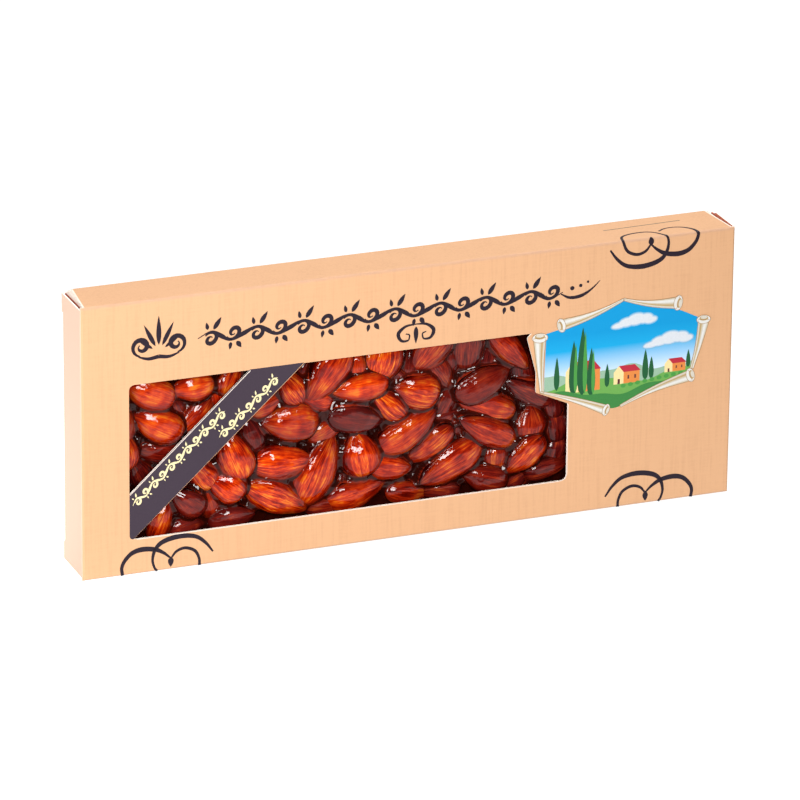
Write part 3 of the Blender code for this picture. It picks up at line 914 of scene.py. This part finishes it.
# Edge of the picture's view, clockwise from its upper left.
VIEW_TOP = (
    (162.4, 65.6), (170.0, 67.2), (181.0, 70.6), (190.0, 74.0), (199.0, 71.4), (209.0, 68.6),
    (217.0, 64.8),
)
VIEW_SIDE = ((217.0, 64.8), (218.4, 59.0), (217.6, 52.0), (215.2, 46.2))
VIEW_FOOT = (
    (215.2, 46.2), (206.0, 41.8), (196.0, 39.6), (187.0, 36.0), (176.0, 39.8), (168.0, 42.6),
    (161.8, 45.0),
)


def outline(points):
    return bend([(u, v, 1) for u, v in points], 6)[:, :2]


def ellipse(u, v, half_u, half_v, lean=0.0):
    around = np.arange(24) * 2 * math.pi / 24
    path = np.stack([half_u * np.cos(around), half_v * np.sin(around), around], -1)
    return moved(path, u, v, lean)[:, :2]


def view_outline():
    return np.concatenate([outline(VIEW_TOP)[:-1], outline(VIEW_SIDE)[:-1], outline(VIEW_FOOT)])


def foot_line(u):
    """Lower edge of the view at u."""
    edge = outline(VIEW_FOOT)[::-1]
    return np.interp(u, edge[:, 0], edge[:, 1])


def hill(left, right, height, swells):
    """Land from a wavy skyline down to the foot of the view."""
    u = np.linspace(left, right, 40)
    top = np.full_like(u, height)
    for swell, length, phase in swells:
        top += swell * np.sin(2 * math.pi * u / length + phase)
    foot = foot_line(u)
    top = np.maximum(top, foot + 0.05)
    return np.concatenate([np.stack([u, top], -1), np.stack([u, foot], -1)[::-1]])


def cypress(u, v, height, half_width):
    t = np.linspace(0, 1, 12)
    reach = half_width * np.sin(math.pi * t**0.62) ** 0.8
    left = np.stack([u - reach, v + height * t], -1)
    right = np.stack([u + reach, v + height * t], -1)
    return np.concatenate([left, right[::-1][1:-1]])


def box(u, v, width, height):
    return [(u, v), (u + width, v), (u + width, v + height), (u, v + height)]


def house(u, v, width, height, roof):
    """(kind, outline) fields of a plain farmhouse: lit gable end, long wall in shade, roof."""
    end = 0.38 * width
    eaves, ridge = v + height, v + height + roof
    gable = [(u, v), (u + end, v), (u + end, eaves), (u + end / 2, ridge), (u, eaves)]
    cover = [
        (u + end, eaves - 0.15),
        (u + width + 0.4, eaves - 0.15),
        (u + width - end / 2, ridge),
        (u + end / 2, ridge),
    ]
    wall = width - end
    openings = [
        box(u + end + (0.25 + 0.42 * k) * wall, v + 0.35 * height, 0.10 * wall, 0.32 * height)
        for k in range(2)
    ]
    openings.append(box(u + 0.40 * end, v, 0.24 * end, 0.42 * height))
    fields = [("wall", gable), ("wall_shade", box(u + end, v, wall, height)), ("roof", cover)]
    return fields + [("dark", opening) for opening in openings]


# Cypresses, as (u, v, height, half width).
FAR_TREES = (
    (166.4, 44.8, 12.0, 1.0), (184.6, 43.8, 8.4, 0.9), (198.4, 44.6, 11.0, 1.1),
    (200.6, 44.8, 8.0, 0.9), (214.0, 47.2, 6.4, 0.8),
)
NEAR_TREES = ((172.4, 42.4, 19.5, 1.6), (175.6, 41.8, 24.5, 1.9), (178.8, 41.2, 17.5, 1.5))


def land():
    fields = [
        ("far", hill(162.0, 215.6, 49.6, ((1.3, 31, 0.6), (0.6, 13, 2.0)))),
        ("middle", hill(161.9, 215.2, 46.6, ((1.6, 38, 3.6), (0.5, 17, 0.4)))),
    ]
    for place in ((187.0, 44.4, 9.4, 4.2, 2.2), (205.4, 46.4, 7.6, 3.0, 1.7)):
        fields += house(*place)
    fields += [("cypress", cypress(*tree)) for tree in FAR_TREES]
    fields += house(169.6, 43.4, 12.4, 7.6, 3.2)
    for u, v, height, half_width in NEAR_TREES:
        lit = cypress(u + 0.5 * half_width, v + 0.6, 0.92 * height, 0.42 * half_width)
        fields += [("cypress", cypress(u, v, height, half_width)), ("leaf", lit)]
    fields.append(("near", hill(162.4, 215.0, 42.6, ((1.5, 41, 1.2), (0.5, 15, 0.2)))))
    for k in range(9):
        fields.append(("leaf", ellipse(190.5 + 2.6 * k, 43.6 + 0.25 * k, 0.9, 0.7)))
    return fields


CLOUD_PUFFS = (
    (-5.2, -0.8, 2.6, 0.7), (-2.2, 0.1, 3.0, 1.3), (1.2, 0.8, 3.2, 1.8), (4.4, 0.7, 2.8, 1.4),
    (6.6, -0.1, 2.2, 0.9),
)


def clouds():
    fields = []
    for u, v, size in ((193.6, 66.0, 0.95), (206.0, 57.8, 1.05)):
        for kind, grown in (("mist", 0.75), ("haze", 0.4), ("cloud", 0.05)):
            for du, dv, half_u, half_v in CLOUD_PUFFS:
                reach = half_u * size + grown, half_v * size + grown
                fields.append((kind, ellipse(u + du * size, v + dv * size, *reach, 8)))
    return fields


def roll(a, b, near, far, hand, sag=0.0):
    """A turned-back strip of parchment along the view's edge from a to b, rolled up at b."""
    a, b = np.array(a, float), np.array(b, float)
    run = b - a
    length = np.hypot(*run)
    out = hand * np.array([-run[1], run[0]]) / length
    t = np.linspace(0, 1, 14)[:, None]
    spine = a + run * t - out * sag * np.sin(math.pi * t)
    width = near + (far - near) * t**1.4

    def strip(low, high):
        return np.concatenate([spine + out * low * width, (spine + out * high * width)[::-1]])

    body = np.concatenate([spine - out * 0.5, (spine + out * width)[::-1]])
    slope = spine[-1] - spine[-2]
    lean = math.degrees(math.atan2(slope[1], slope[0]))

    def turn(ahead, half_u, half_v):
        middle = spine[-1] + out * (far * 0.40) + ahead * far * run / length
        return ellipse(*middle, half_u * far, half_v * far, lean)

    cap = turn(0, 0.42, 0.70)
    fields = [
        ("parchment", body), ("shade", strip(0.0, 0.40)), ("fold", strip(0.10, 0.26)),
        ("sheen", strip(0.50, 0.78)), ("shade", strip(0.88, 1.0)), ("sheen", cap),
        ("fold", turn(0.12, 0.24, 0.46)), ("parchment", turn(0.2, 0.15, 0.34)),
    ]
    return fields, [np.concatenate([body, body[:1]]), np.concatenate([cap, cap[:1]])]


def frame_parts():
    parts, lines = [], []
    for strip in (
        ((161.4, 44.8), (161.7, 64.4), 1.0, 4.0, 1, -0.4),
        ((190.0, 74.4), (168.2, 66.6), 0.4, 3.6, -1, 0.7),
        ((190.0, 74.4), (209.4, 69.2), 0.4, 3.8, 1, 0.7),
        ((215.2, 46.6), (217.8, 63.8), 0.8, 3.6, -1, -0.5),
        ((189.6, 36.4), (214.4, 45.6), 0.4, 3.6, -1, 0.6),
        ((160.6, 45.0), (184.8, 36.9), 0.2, 3.0, -1, 0.3),
    ):
        fields, edges = roll(*strip)
        parts += fields
        lines += edges
    return parts, lines


def make_picture():
    """A made-up country view in a parchment frame, as flat inks laid over one another."""
    inks = {name: ink("ink_" + name, colour) for name, colour in PICTURE_COLOURS.items()}
    inks["sky"] = sky_ink()
    drawn = Print("picture", list(inks.values()))
    drawn.field(view_outline(), inks["sky"])
    fields, lines = frame_parts()
    for number, (kind, outline_points) in enumerate(clouds() + land() + fields):
        drawn.field(outline_points, inks[kind], 1 + 0.3 * number)
    for line in lines:
        stroke = np.concatenate([line, np.full((len(line), 1), 0.16)], axis=1)
        drawn.stroke(stroke, inks["edge"], 38)
    drawn.make()


# ---------------------------------------------------------------- the brittle
SEED = 11
# The foremost layer of almonds, the step from layer to layer, and an almond's shape: thickness
# as a share of width, and the powers by which its girth swells at the blunt end and at the tip.
NUT_FRONT = -7.9 * MM
LAYER_STEP = 1.5 * MM
NUT_THICKNESS = 0.66
GIRTH_BLUNT = 0.50
GIRTH_TIP = 0.76
NUT_TILT = math.radians(9)
# Places in the list below are where the line of sight to an almond crosses the front panel.
SIGHT_ACROSS = 0.395
SIGHT_DOWN = 0.416
SHOWN_DEPTH = 0.2
# The almonds behind the board lie on a loose grid that keeps clear of the window.
HIDDEN_PITCH_X = 17 * MM
HIDDEN_PITCH_Z = 13 * MM
HIDDEN_SHIFT_X = 2 * MM
HIDDEN_SHIFT_Z = 1.5 * MM
HIDDEN_LENGTHS = (17 * MM, 22 * MM)
HIDDEN_WIDTHS = (10.3 * MM, 12.7 * MM)
HIDDEN_LAYERS = (0, 1, 1, 2)
CLEAR_ROUND_WINDOW = 7 * MM
CLEAR_RIGHT_OF_WINDOW = 8 * MM
CLEAR_BELOW_WINDOW = 7 * MM
RIM = 0.6 * MM

# The almonds seen in the window, as the solid has them, each with its tone: partly the skin's
# own colour, partly painted shade on almonds that lie deep or in the board's shadow:
# (x, height, length, width, way the tip points, layer), tone 0 pale orange to 1 dark purple.
SEEN_NUTS = (
    (23.4, 62.6, 20, 12, 157, 0, 0.3), (38.2, 62.4, 16, 10, 182, 0, 0.3),
    (26.4, 50.8, 20, 12, 154, 0, 0.25), (14.2, 52.4, 15, 9, 85, 1, 0.55),
    (14, 43.4, 15, 12, 96, 0, 0.35), (40.4, 52.6, 15, 10, 48, 1, 0.55),
    (26.5, 42, 17, 10, 172, 2, 0.85), (20.6, 34.4, 16, 10, 120, 3, 1),
    (51.8, 64.2, 14, 10, 62, 1, 0.45), (47, 59.4, 12, 8, 100, 2, 0.35),
    (31, 36, 16, 10, 30, 3, 0.95), (27, 17.4, 15, 9, 70, 1, 0.3),
    (36.8, 22.4, 15, 10, 142, 0, 0.9), (41.6, 32.2, 15, 10, 128, 1, 0.35),
    (50.2, 26.4, 15, 11.5, 146, 0, 0.1), (52.8, 36.6, 20, 13, 113, 0, 0.2),
    (58.6, 43.8, 14, 9, 108, 2, 1), (52.2, 14.8, 17, 9.5, 4, 1, 0.95),
    (65, 53.6, 15, 9, 20, 2, 0.45), (72.6, 58.2, 15, 10, 122, 1, 0.35),
    (76.8, 62, 12, 8, 80, 3, 1), (85.8, 61.4, 25, 14, 232, 0, 0.3),
    (81.4, 52.6, 13, 7.5, 160, 1, 0.35), (72.6, 45.8, 21, 14.5, 176, 0, 0.45),
    (85.6, 41.8, 16, 9, 20, 2, 0.6), (70.2, 31.8, 22, 12, 358, 0, 0.1),
    (82.2, 27.4, 27, 15.5, 63, 0, 0.25), (68.2, 19.5, 24.5, 12.5, 332, 0, 0.15),
    (95.4, 63.6, 11, 7, 90, 2, 0.35), (97, 54.6, 21, 10, 182, 0, 0.05),
    (105.4, 65.6, 20, 14.5, 78, 1, 0.25), (121.8, 64.4, 20, 12, 234, 1, 0.55),
    (125.2, 56.8, 15, 9, 300, 2, 0.85), (134.9, 66.4, 22.5, 12, 90, 1, 0.9),
    (150, 61.2, 20, 9, 312, 1, 0.5), (117.4, 50.8, 17, 13.5, 165, 0, 0.3),
    (140.9, 50.6, 22, 12, 20, 0, 0.8), (141.8, 42.4, 22.5, 11, 161, 1, 0.35),
    (157.6, 45.6, 21, 10, 152, 2, 0.95), (155, 55, 16, 10, 100, 3, 1),
    (96, 44, 21.5, 11.5, 345, 0, 0.95), (106.8, 47.8, 16, 9, 138, 1, 0.25),
    (114.2, 37.3, 24, 12, 31, 0, 0.35), (127.4, 47.2, 15, 9, 62, 3, 0.9),
    (121.6, 31.2, 20, 10.5, 218, 1, 0.45), (142.4, 33.6, 24, 10.5, 151, 0, 0.4),
    (157.8, 34.6, 13, 12, 90, 1, 0.6), (129.6, 23.6, 26.5, 13.5, 207, 0, 0.35),
    (156.2, 22.8, 18, 11.5, 222, 0, 0.3), (97.3, 31.1, 17, 14, 102, 0, 0.15),
    (107.8, 25.6, 17, 10, 345, 1, 0.25), (95.6, 17.6, 22, 11.5, 12, 1, 0.25),
    (114.4, 15.4, 18, 9, 350, 2, 0.5), (145.4, 24.6, 12, 9, 88, 2, 0.6),
    (141.6, 16.6, 17, 10.5, 163, 1, 0.8), (164, 17.4, 17, 8, 12, 2, 0.9),
    (166.6, 33.6, 16, 9, 96, 3, 1), (167, 25.4, 14, 9, 75, 3, 1),
    (43.6, 22.4, 13, 8, 105, 2, 0.7), (83.2, 14.2, 14, 8, 175, 2, 0.85),
    (36, 13.6, 14, 8, 5, 2, 0.9), (125.4, 14.2, 15, 7.5, 178, 2, 0.9),
    (152.4, 14.4, 13, 7.5, 20, 3, 1), (33, 55.6, 12, 7.5, 110, 3, 0.9),
    (114.6, 61.2, 14, 7.5, 84, 3, 0.95), (128.6, 61.6, 13, 7.5, 96, 3, 1),
    (141.6, 60.6, 14, 8, 76, 3, 1), (89.8, 21.4, 12, 7, 60, 3, 0.9),
    (126.6, 40.2, 12, 7, 20, 3, 0.95), (109.4, 57.6, 12, 7, 140, 3, 0.9),
    (58.4, 24, 10, 7, 100, 3, 0.9), (85.4, 48.6, 11, 6.5, 20, 3, 0.9),
    (131, 37, 12, 7, 100, 3, 0.95), (165.6, 41, 13, 8, 100, 3, 1),
)


# Steps of an almond's mesh: along it, round its front and round its back.
SEEN_STEPS = (34, 34, 6)
HIDDEN_STEPS = (14, 12, 6)
WRINKLE_COUNTS = (5, 8, 11, 15, 19, 24)
WRINKLE_HEIGHT = 0.03 * MM
# How full an almond's cross-section is, and how far it bends and dents, as shares of its size.
NUT_ROUND = 2.3
NUT_BEND = 0.04
NUT_DENT = 0.035


class Nut:
    """One almond, placed and tilted as in the solid, with its blunt end at t = 0 and tip at 1."""

    def __init__(self, x, z, length, width, angle, front, tone, draw):
        self.length, self.width = length, width
        self.thick = NUT_THICKNESS * width
        tilt = Euler((draw.uniform(-1, 1) * NUT_TILT, 0, draw.uniform(-1, 1) * NUT_TILT))
        turn = Matrix.Rotation(-math.radians(angle), 3, "Y")
        self.axes = np.array(turn @ tilt.to_matrix())
        self.centre = np.array((x, front + self.thick / 2, z))
        self.tone = tone
        self.seed = int(1e6 * abs(tilt.x) + 1e7 * abs(tilt.z))

    def girth(self, t):
        """Half width along the nut, as a share of the widest."""
        t = np.clip(t, 0, 1)
        widest = GIRTH_BLUNT / (GIRTH_BLUNT + GIRTH_TIP)
        peak = widest**GIRTH_BLUNT * (1 - widest) ** GIRTH_TIP
        return t**GIRTH_BLUNT * (1 - t) ** GIRTH_TIP / peak

    def to_world(self, along, side, out):
        """Nut axes (along the length, to the side, out of the slab) to the world, in metres."""
        local = np.stack([along, -out, side], -1)
        return local @ self.axes.T + self.centre


def in_window(x, z):
    return (
        WINDOW_LEFT - CLEAR_ROUND_WINDOW < x - LEFT < WINDOW_RIGHT + CLEAR_RIGHT_OF_WINDOW
        and WINDOW_BOTTOM - CLEAR_BELOW_WINDOW < z < WINDOW_TOP + CLEAR_ROUND_WINDOW
    )


def seen_nuts(draw):
    for x, height, length, width, angle, layer, tone in SEEN_NUTS:
        front = NUT_FRONT + layer * LAYER_STEP
        behind = front + SHOWN_DEPTH * NUT_THICKNESS * width * MM - FRONT
        place = LEFT + x * MM + SIGHT_ACROSS * behind, height * MM - SIGHT_DOWN * behind
        yield Nut(*place, length * MM, width * MM, angle, front, tone, draw)


def hidden_nuts(draw):
    slab_width = SLAB_HIGH.x - SLAB_LOW.x
    slab_height = SLAB_HIGH.z - SLAB_LOW.z
    columns = int(slab_width // HIDDEN_PITCH_X)
    rows = int(slab_height // HIDDEN_PITCH_Z)
    for column in range(columns):
        for row in range(rows):
            x = SLAB_LOW.x + (column + 0.5) * slab_width / columns
            z = SLAB_LOW.z + (row + 0.5) * slab_height / rows
            length = draw.uniform(*HIDDEN_LENGTHS)
            width = draw.uniform(*HIDDEN_WIDTHS)
            angle = draw.uniform(-180, 180)
            x += draw.uniform(-1, 1) * HIDDEN_SHIFT_X
            z += draw.uniform(-1, 1) * HIDDEN_SHIFT_Z
            layer = draw.choice(HIDDEN_LAYERS)
            if in_window(x, z):
                continue
            turn_cos = abs(math.cos(math.radians(angle)))
            turn_sin = abs(math.sin(math.radians(angle)))
            reach_x = turn_cos * length / 2 + turn_sin * width / 2 + RIM
            reach_z = turn_sin * length / 2 + turn_cos * width / 2 + RIM
            x = min(max(x, SLAB_LOW.x + reach_x), SLAB_HIGH.x - reach_x)
            z = min(max(z, SLAB_LOW.z + reach_z), SLAB_HIGH.z - reach_z)
            yield Nut(x, z, length, width, angle, NUT_FRONT + layer * LAYER_STEP, 0.5, draw)


def wrinkles(pick, around, t):
    """Lengthwise folds of the skin, as a height in metres."""
    height = np.zeros_like(around)
    for count in WRINKLE_COUNTS:
        sway = pick.uniform(0.3, 1.1)
        phase, drift = pick.uniform(0, 2 * math.pi), pick.uniform(0, 2 * math.pi)
        size = pick.uniform(0.4, 1.0) * (WRINKLE_COUNTS[0] / count) ** 0.5
        wave = count * around + phase + sway * np.sin(1.5 * math.pi * t + drift)
        height += size * np.sin(wave)
    fade = np.sin(math.pi * np.clip(t, 0, 1)) ** 0.6
    return height * fade * WRINKLE_HEIGHT


def nut_mesh(nut, lengthwise, front_steps, back_steps):
    """(points, faces, skin coordinates, crown) of one almond, finer on the side that shows."""
    pick = random.Random(nut.seed)
    front = np.linspace(-math.pi / 2, math.pi / 2, front_steps, endpoint=False)
    back = np.linspace(math.pi / 2, 1.5 * math.pi, back_steps, endpoint=False)
    t = (1 - np.cos(np.linspace(0, math.pi, lengthwise + 1)[1:-1])) / 2
    t_grid, around = np.meshgrid(t, np.concatenate([front, back]), indexing="ij")
    girth = nut.girth(t_grid)
    lumps = wrinkles(pick, around, t_grid)
    bend = pick.uniform(-1, 1) * NUT_BEND * nut.width * np.sin(math.pi * t_grid)
    wave = pick.uniform(2, 4) * math.pi * t_grid + pick.uniform(0, 6) + around
    dent = 1 + NUT_DENT * np.sin(wave)
    across, ahead = (
        np.sign(turn) * np.abs(turn) ** (2 / NUT_ROUND) for turn in (np.sin(around), np.cos(around))
    )
    side = across * (girth * nut.width / 2 * dent + lumps) + bend
    out = ahead * (girth * nut.thick / 2 * dent + lumps)
    along = (t_grid - 0.5) * nut.length
    ends = np.array([(-nut.length / 2, 0, 0), (nut.length / 2, 0, 0)])
    points = np.concatenate([nut.to_world(along, side, out).reshape(-1, 3), nut.to_world(*ends.T)])
    rings, loops = around.shape
    blunt, tip = rings * loops, rings * loops + 1
    faces = []
    for j in range(loops):
        k = (j + 1) % loops
        for ring in range(0, blunt - loops, loops):
            faces.append((ring + j, ring + k, ring + loops + k, ring + loops + j))
        faces.append((blunt, k, j))
        faces.append((tip, blunt - loops + j, blunt - loops + k))
    spread = [along, np.sin(around) * nut.width / 2, np.cos(around) * nut.thick / 2]
    skin = np.concatenate([np.stack(spread, -1).reshape(-1, 3), ends])
    crown = np.cos(around) * np.sqrt(np.clip(girth, 0, 1))
    return points, faces, skin, np.append(crown, [0, 0])


def make_nuts(name, nuts, skin_material, steps):
    points, faces, skin, crown, tone, shift = [], [], [], [], [], []
    for nut in nuts:
        start = len(points)
        own_points, own_faces, own_skin, own_crown = nut_mesh(nut, *steps)
        points += list(own_points)
        faces += [tuple(start + i for i in face) for face in own_faces]
        skin += list(own_skin)
        crown += list(own_crown)
        tone += [nut.tone] * len(own_points)
        shift += [math.modf(nut.seed * 0.6180339)[0]] * len(own_points)
    obj = closed_object(name, points, faces, [skin_material])
    obj.data.shade_smooth()
    point_vectors(obj.data, "skin", np.array(skin) / MM)
    for attribute, values in (("crown", crown), ("tone", tone), ("shift", shift)):
        point_values(obj.data, attribute, values)
    return obj


BRIGHT_SKIN = (
    (0.28, (0.09, 0.002, 0.0)), (0.42, (0.30, 0.008, 0.0)), (0.55, (0.64, 0.046, 0.001)),
    (0.72, (0.96, 0.28, 0.012)),
)
DARK_SKIN = (
    (0.30, (0.018, 0.001, 0.001)), (0.47, (0.065, 0.004, 0.004)), (0.60, (0.14, 0.009, 0.006)),
    (0.76, (0.38, 0.045, 0.008)),
)
SKIN_RIM_SHADE = ((0.20, (0.05, 0.003, 0.003)), (0.62, (0.53, 0.38, 0.38)), (0.95, (1.0, 1.0, 1.0)))
VEIN_DEPTH = 0.10 * MM
GLAZE_RIPPLE = 0.16 * MM
GLAZE_SWELL = 1.3 * MM


def nut_skin():
    """Brown skin veined along the nut, darker towards the rim partly for the thick sugar round it
    and partly by painted shade.
    """
    graph = Graph("almond_skin")
    where = graph.attribute("skin", "Vector")
    shift = graph.attribute("shift")
    offset = graph.node("ShaderNodeCombineXYZ", None, X=graph.times(shift, 60)).outputs[0]
    lengthwise = graph.vector("ADD", graph.vector("MULTIPLY", where, (0.10, 1.0, 1.0)), offset)
    moved = graph.vector("ADD", where, offset)
    veins = graph.noise(lengthwise, 1.0, 4, 0.65, 0.5)
    fine = graph.noise(lengthwise, 3.0, 3, 0.6)
    blotch = graph.noise(moved, 0.20, 2)
    mixed = graph.add(graph.times(veins, 0.65), graph.times(fine, 0.35))
    contrast = graph.add(0.55, graph.times(shift, 0.85))
    value = graph.add(graph.add(0.5, graph.swing(mixed, contrast)), graph.swing(blotch, 0.55))
    # Darker tones stand partly for painted shade on almonds that lie deep or in the board's shadow.
    leaning = graph.add(graph.attribute("tone"), graph.swing(blotch, 0.8), clamp=True)
    colour = graph.mix(leaning, graph.ramp(value, BRIGHT_SKIN), graph.ramp(value, DARK_SKIN))
    # Painted shade: the skin is multiplied darker from its crown towards its rim.
    rim = graph.ramp(graph.attribute("crown"), SKIN_RIM_SHADE, smooth=True)
    ripples = graph.bump(graph.noise(moved, 0.6, 2), GLAZE_RIPPLE, 0.8)
    return graph.finish(
        Base_Color=graph.mix(1.0, colour, rim, "MULTIPLY"),
        Roughness=0.6,
        Specular_IOR_Level=0.0,
        Normal=graph.bump(value, VEIN_DEPTH, 0.5),
        Coat_Weight=1.0,
        Coat_Roughness=0.025,
        Coat_IOR=1.38,
        Coat_Normal=graph.bump(graph.noise(moved, 0.13, 1), GLAZE_SWELL, 0.8, ripples),
    )


# Grid of the caramel's surface: fine behind the window, coarse behind the board.
FINE_STEP = 0.4 * MM
COARSE_STEP = 2.0 * MM
# The ball that rolls over the almonds, and how far forward the sugar fills the gaps.
BALL = 1.6 * MM
GAP_FRONT = -1.5 * MM
RIPPLE = 0.075 * MM
RIPPLE_LENGTHS = (2.4, 6.5)
RIPPLE_COUNT = 14
RIPPLE_SEED = 5
FINE_MARGIN = 6 * MM
# How the sugar falls off towards the slab's rim.
EDGE_SLOPE = 1.2
EDGE_FLAT = 0.5 * MM
EDGE_FALL = 2 * MM
# Over an almond the sugar sinks out of sight; where it is shallow its colour thins.
COAT_DROP = 0.5 * MM
COAT_FADE = 0.25 * MM
THIN_DEPTH = 0.35 * MM


def grid_line(low, high, fine_low, fine_high):
    fine = np.arange(fine_low, fine_high, FINE_STEP)
    steps_before, steps_after = (
        max(2, int(reach / COARSE_STEP)) for reach in (fine_low - low, high - fine[-1])
    )
    before = np.linspace(low, fine_low, steps_before, endpoint=False)
    after = np.linspace(fine[-1], high, steps_after + 1)[1:]
    return np.concatenate([before, fine, after])


def nut_heights(nuts, x, z):
    """How far the almonds stand out towards the window over a grid, as -Y in metres."""
    height = np.zeros(x.shape)
    for nut in nuts:
        flat = nut.axes[np.ix_((0, 2), (0, 2))]
        offsets = np.stack([x - nut.centre[0], z - nut.centre[2]], -1) @ np.linalg.inv(flat).T
        along, side = offsets[..., 0], offsets[..., 1]
        t = along / nut.length + 0.5
        inside = (t > 0.01) & (t < 0.99)
        girth = nut.girth(np.where(inside, t, 0.5))
        share = np.abs(side / (girth * nut.width / 2))
        inside &= share < 1
        arch = np.clip(1 - share**NUT_ROUND, 0, 1) ** (1 / NUT_ROUND)
        out = girth * nut.thick / 2 * arch
        front = out - nut.centre[1] - along * nut.axes[1, 0] - side * nut.axes[1, 2]
        height = np.where(inside, np.maximum(height, front), height)
    return height


def closed_by_ball(height, step, radius):
    """The surface a ball of this radius leaves when it rolls over the heights."""
    reach = int(radius / step)
    offsets = [
        (i, j, math.sqrt(max(radius**2 - (i * step) ** 2 - (j * step) ** 2, 0)) - radius)
        for i in range(-reach, reach + 1)
        for j in range(-reach, reach + 1)
        if math.hypot(i, j) * step <= radius
    ]
    rows, columns = height.shape
    for pick, way in ((np.maximum, 1), (np.minimum, -1)):
        padded = np.pad(height, reach, mode="edge")
        for i, j, fall in offsets:
            part = padded[reach + i:reach + i + rows, reach + j:reach + j + columns]
            height = pick(height, part + way * fall)
    return height


def smoothed(height, times):
    """The height with each point drawn to the mean of its neighbours, a few times over."""
    for _ in range(times):
        padded = np.pad(height, 1, mode="edge")
        beside = padded[:-2, 1:-1] + padded[2:, 1:-1] + padded[1:-1, :-2] + padded[1:-1, 2:]
        height = (height + beside / 4) / 2
    return height


def ripple(x, z):
    """A slow unevenness of the set sugar, as a height in metres."""
    pick = random.Random(RIPPLE_SEED)
    total = np.zeros_like(x)
    for _ in range(RIPPLE_COUNT):
        length = pick.uniform(*RIPPLE_LENGTHS) * MM
        turn, phase = pick.uniform(0, math.pi), pick.uniform(0, 2 * math.pi)
        run = x * math.cos(turn) + z * math.sin(turn)
        total += np.sin(2 * math.pi * run / length + phase)
    return total * RIPPLE


def make_caramel(nuts):
    """Set sugar, filled in between the almonds as by a rolling ball, sunk behind their faces."""
    near, far = LEFT + WINDOW_LEFT - FINE_MARGIN, LEFT + WINDOW_RIGHT + FINE_MARGIN
    xs = grid_line(SLAB_LOW.x, SLAB_HIGH.x, near, far)
    zs = grid_line(
        SLAB_LOW.z, SLAB_HIGH.z, WINDOW_BOTTOM - FINE_MARGIN, WINDOW_TOP + FINE_MARGIN
    )
    grid_x, grid_z = np.meshgrid(xs, zs, indexing="ij")
    even_x = np.arange(SLAB_LOW.x, SLAB_HIGH.x, FINE_STEP)
    even_z = np.arange(SLAB_LOW.z, SLAB_HIGH.z, FINE_STEP)
    even = np.meshgrid(even_x, even_z, indexing="ij")
    heights = nut_heights(nuts, *even)
    filled = closed_by_ball(np.maximum(heights, -GAP_FRONT), FINE_STEP, BALL)
    depth = np.clip(filled - heights, 0, None)
    filled += ripple(*even) * np.clip(depth / COAT_DROP, 0, 1)
    filled = smoothed(filled, 4)
    filled -= COAT_DROP * smoothed(np.clip(1 - depth / COAT_FADE, 0, 1), 2)

    def read(values):
        i = np.clip(np.rint((grid_x - SLAB_LOW.x) / FINE_STEP).astype(int), 0, len(even_x) - 1)
        j = np.clip(np.rint((grid_z - SLAB_LOW.z) / FINE_STEP).astype(int), 0, len(even_z) - 1)
        return values[i, j]

    rim = np.minimum.reduce([
        grid_x - SLAB_LOW.x, SLAB_HIGH.x - grid_x, grid_z - SLAB_LOW.z, SLAB_HIGH.z - grid_z
    ])
    edge = -GAP_FRONT + EDGE_SLOPE * np.maximum(rim - EDGE_FLAT, -EDGE_FALL)
    raised = np.minimum(read(filled), edge)
    points = np.stack([grid_x, -raised, grid_z], -1).reshape(-1, 3)
    index = np.arange(grid_x.size).reshape(grid_x.shape)
    squares = (index[:-1, :-1], index[1:, :-1], index[1:, 1:], index[:-1, 1:])
    faces = np.stack(squares, -1).reshape(-1, 4).tolist()
    border = (index[:, 0], index[-1, 1:], index[-2::-1, -1], index[0, -2:0:-1])
    border = np.concatenate(border).tolist()
    back = points[border]
    back[:, 1] = SLAB_HIGH.y
    behind = range(len(points), len(points) + len(border))
    for k in range(len(border)):
        faces.append((border[k - 1], border[k], behind[k], behind[k - 1]))
    faces.append(tuple(behind))
    obj = closed_object("caramel", np.concatenate([points, back]), faces, [caramel_glaze()])
    obj.data.shade_smooth()
    thin = np.exp(-read(depth) / THIN_DEPTH)
    point_values(obj.data, "thin", np.append(thin, np.zeros(len(border))))
    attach(obj, "root")
    return obj


DEEP_SUGAR = (
    (0.0, (0.020, 0.002, 0.001)), (0.5, (0.065, 0.004, 0.0015)), (1.0, (0.2, 0.014, 0.003)),
)
SUGAR_SWELL = 1.2 * MM


def caramel_glaze():
    """Dark set sugar: nearly black where it is deep, red-brown where it thins out on a nut."""
    graph = Graph("caramel_glaze")
    uneven = graph.noise(graph.place(), 260, 2)
    share = graph.times(graph.attribute("thin"), graph.add(uneven, 0.4))
    return graph.finish(
        Base_Color=graph.ramp(share, DEEP_SUGAR),
        Roughness=0.3,
        Specular_IOR_Level=0.0,
        Coat_Weight=0.9,
        Coat_Roughness=0.02,
        Coat_IOR=1.34,
        Coat_Normal=graph.bump(graph.noise(graph.place(), 150, 0), SUGAR_SWELL, 0.6),
    )


def make_brittle():
    draw = random.Random(SEED)
    seen = list(seen_nuts(draw))
    hidden = list(hidden_nuts(draw))
    skin = nut_skin()
    caramel = make_caramel(seen + hidden)
    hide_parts("brittle")
    shown = make_nuts("almonds", seen, skin, SEEN_STEPS)
    behind = make_nuts("almonds_behind_board", hidden, skin, HIDDEN_STEPS)
    for obj in (shown, behind):
        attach(obj, "root")
        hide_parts("brittle")


def main():
    make_camera()
    make_lights()
    make_floor()
    make_board()
    make_dust_flaps()
    make_lip()
    make_ornaments()
    make_band()
    make_picture()
    make_brittle()


main()
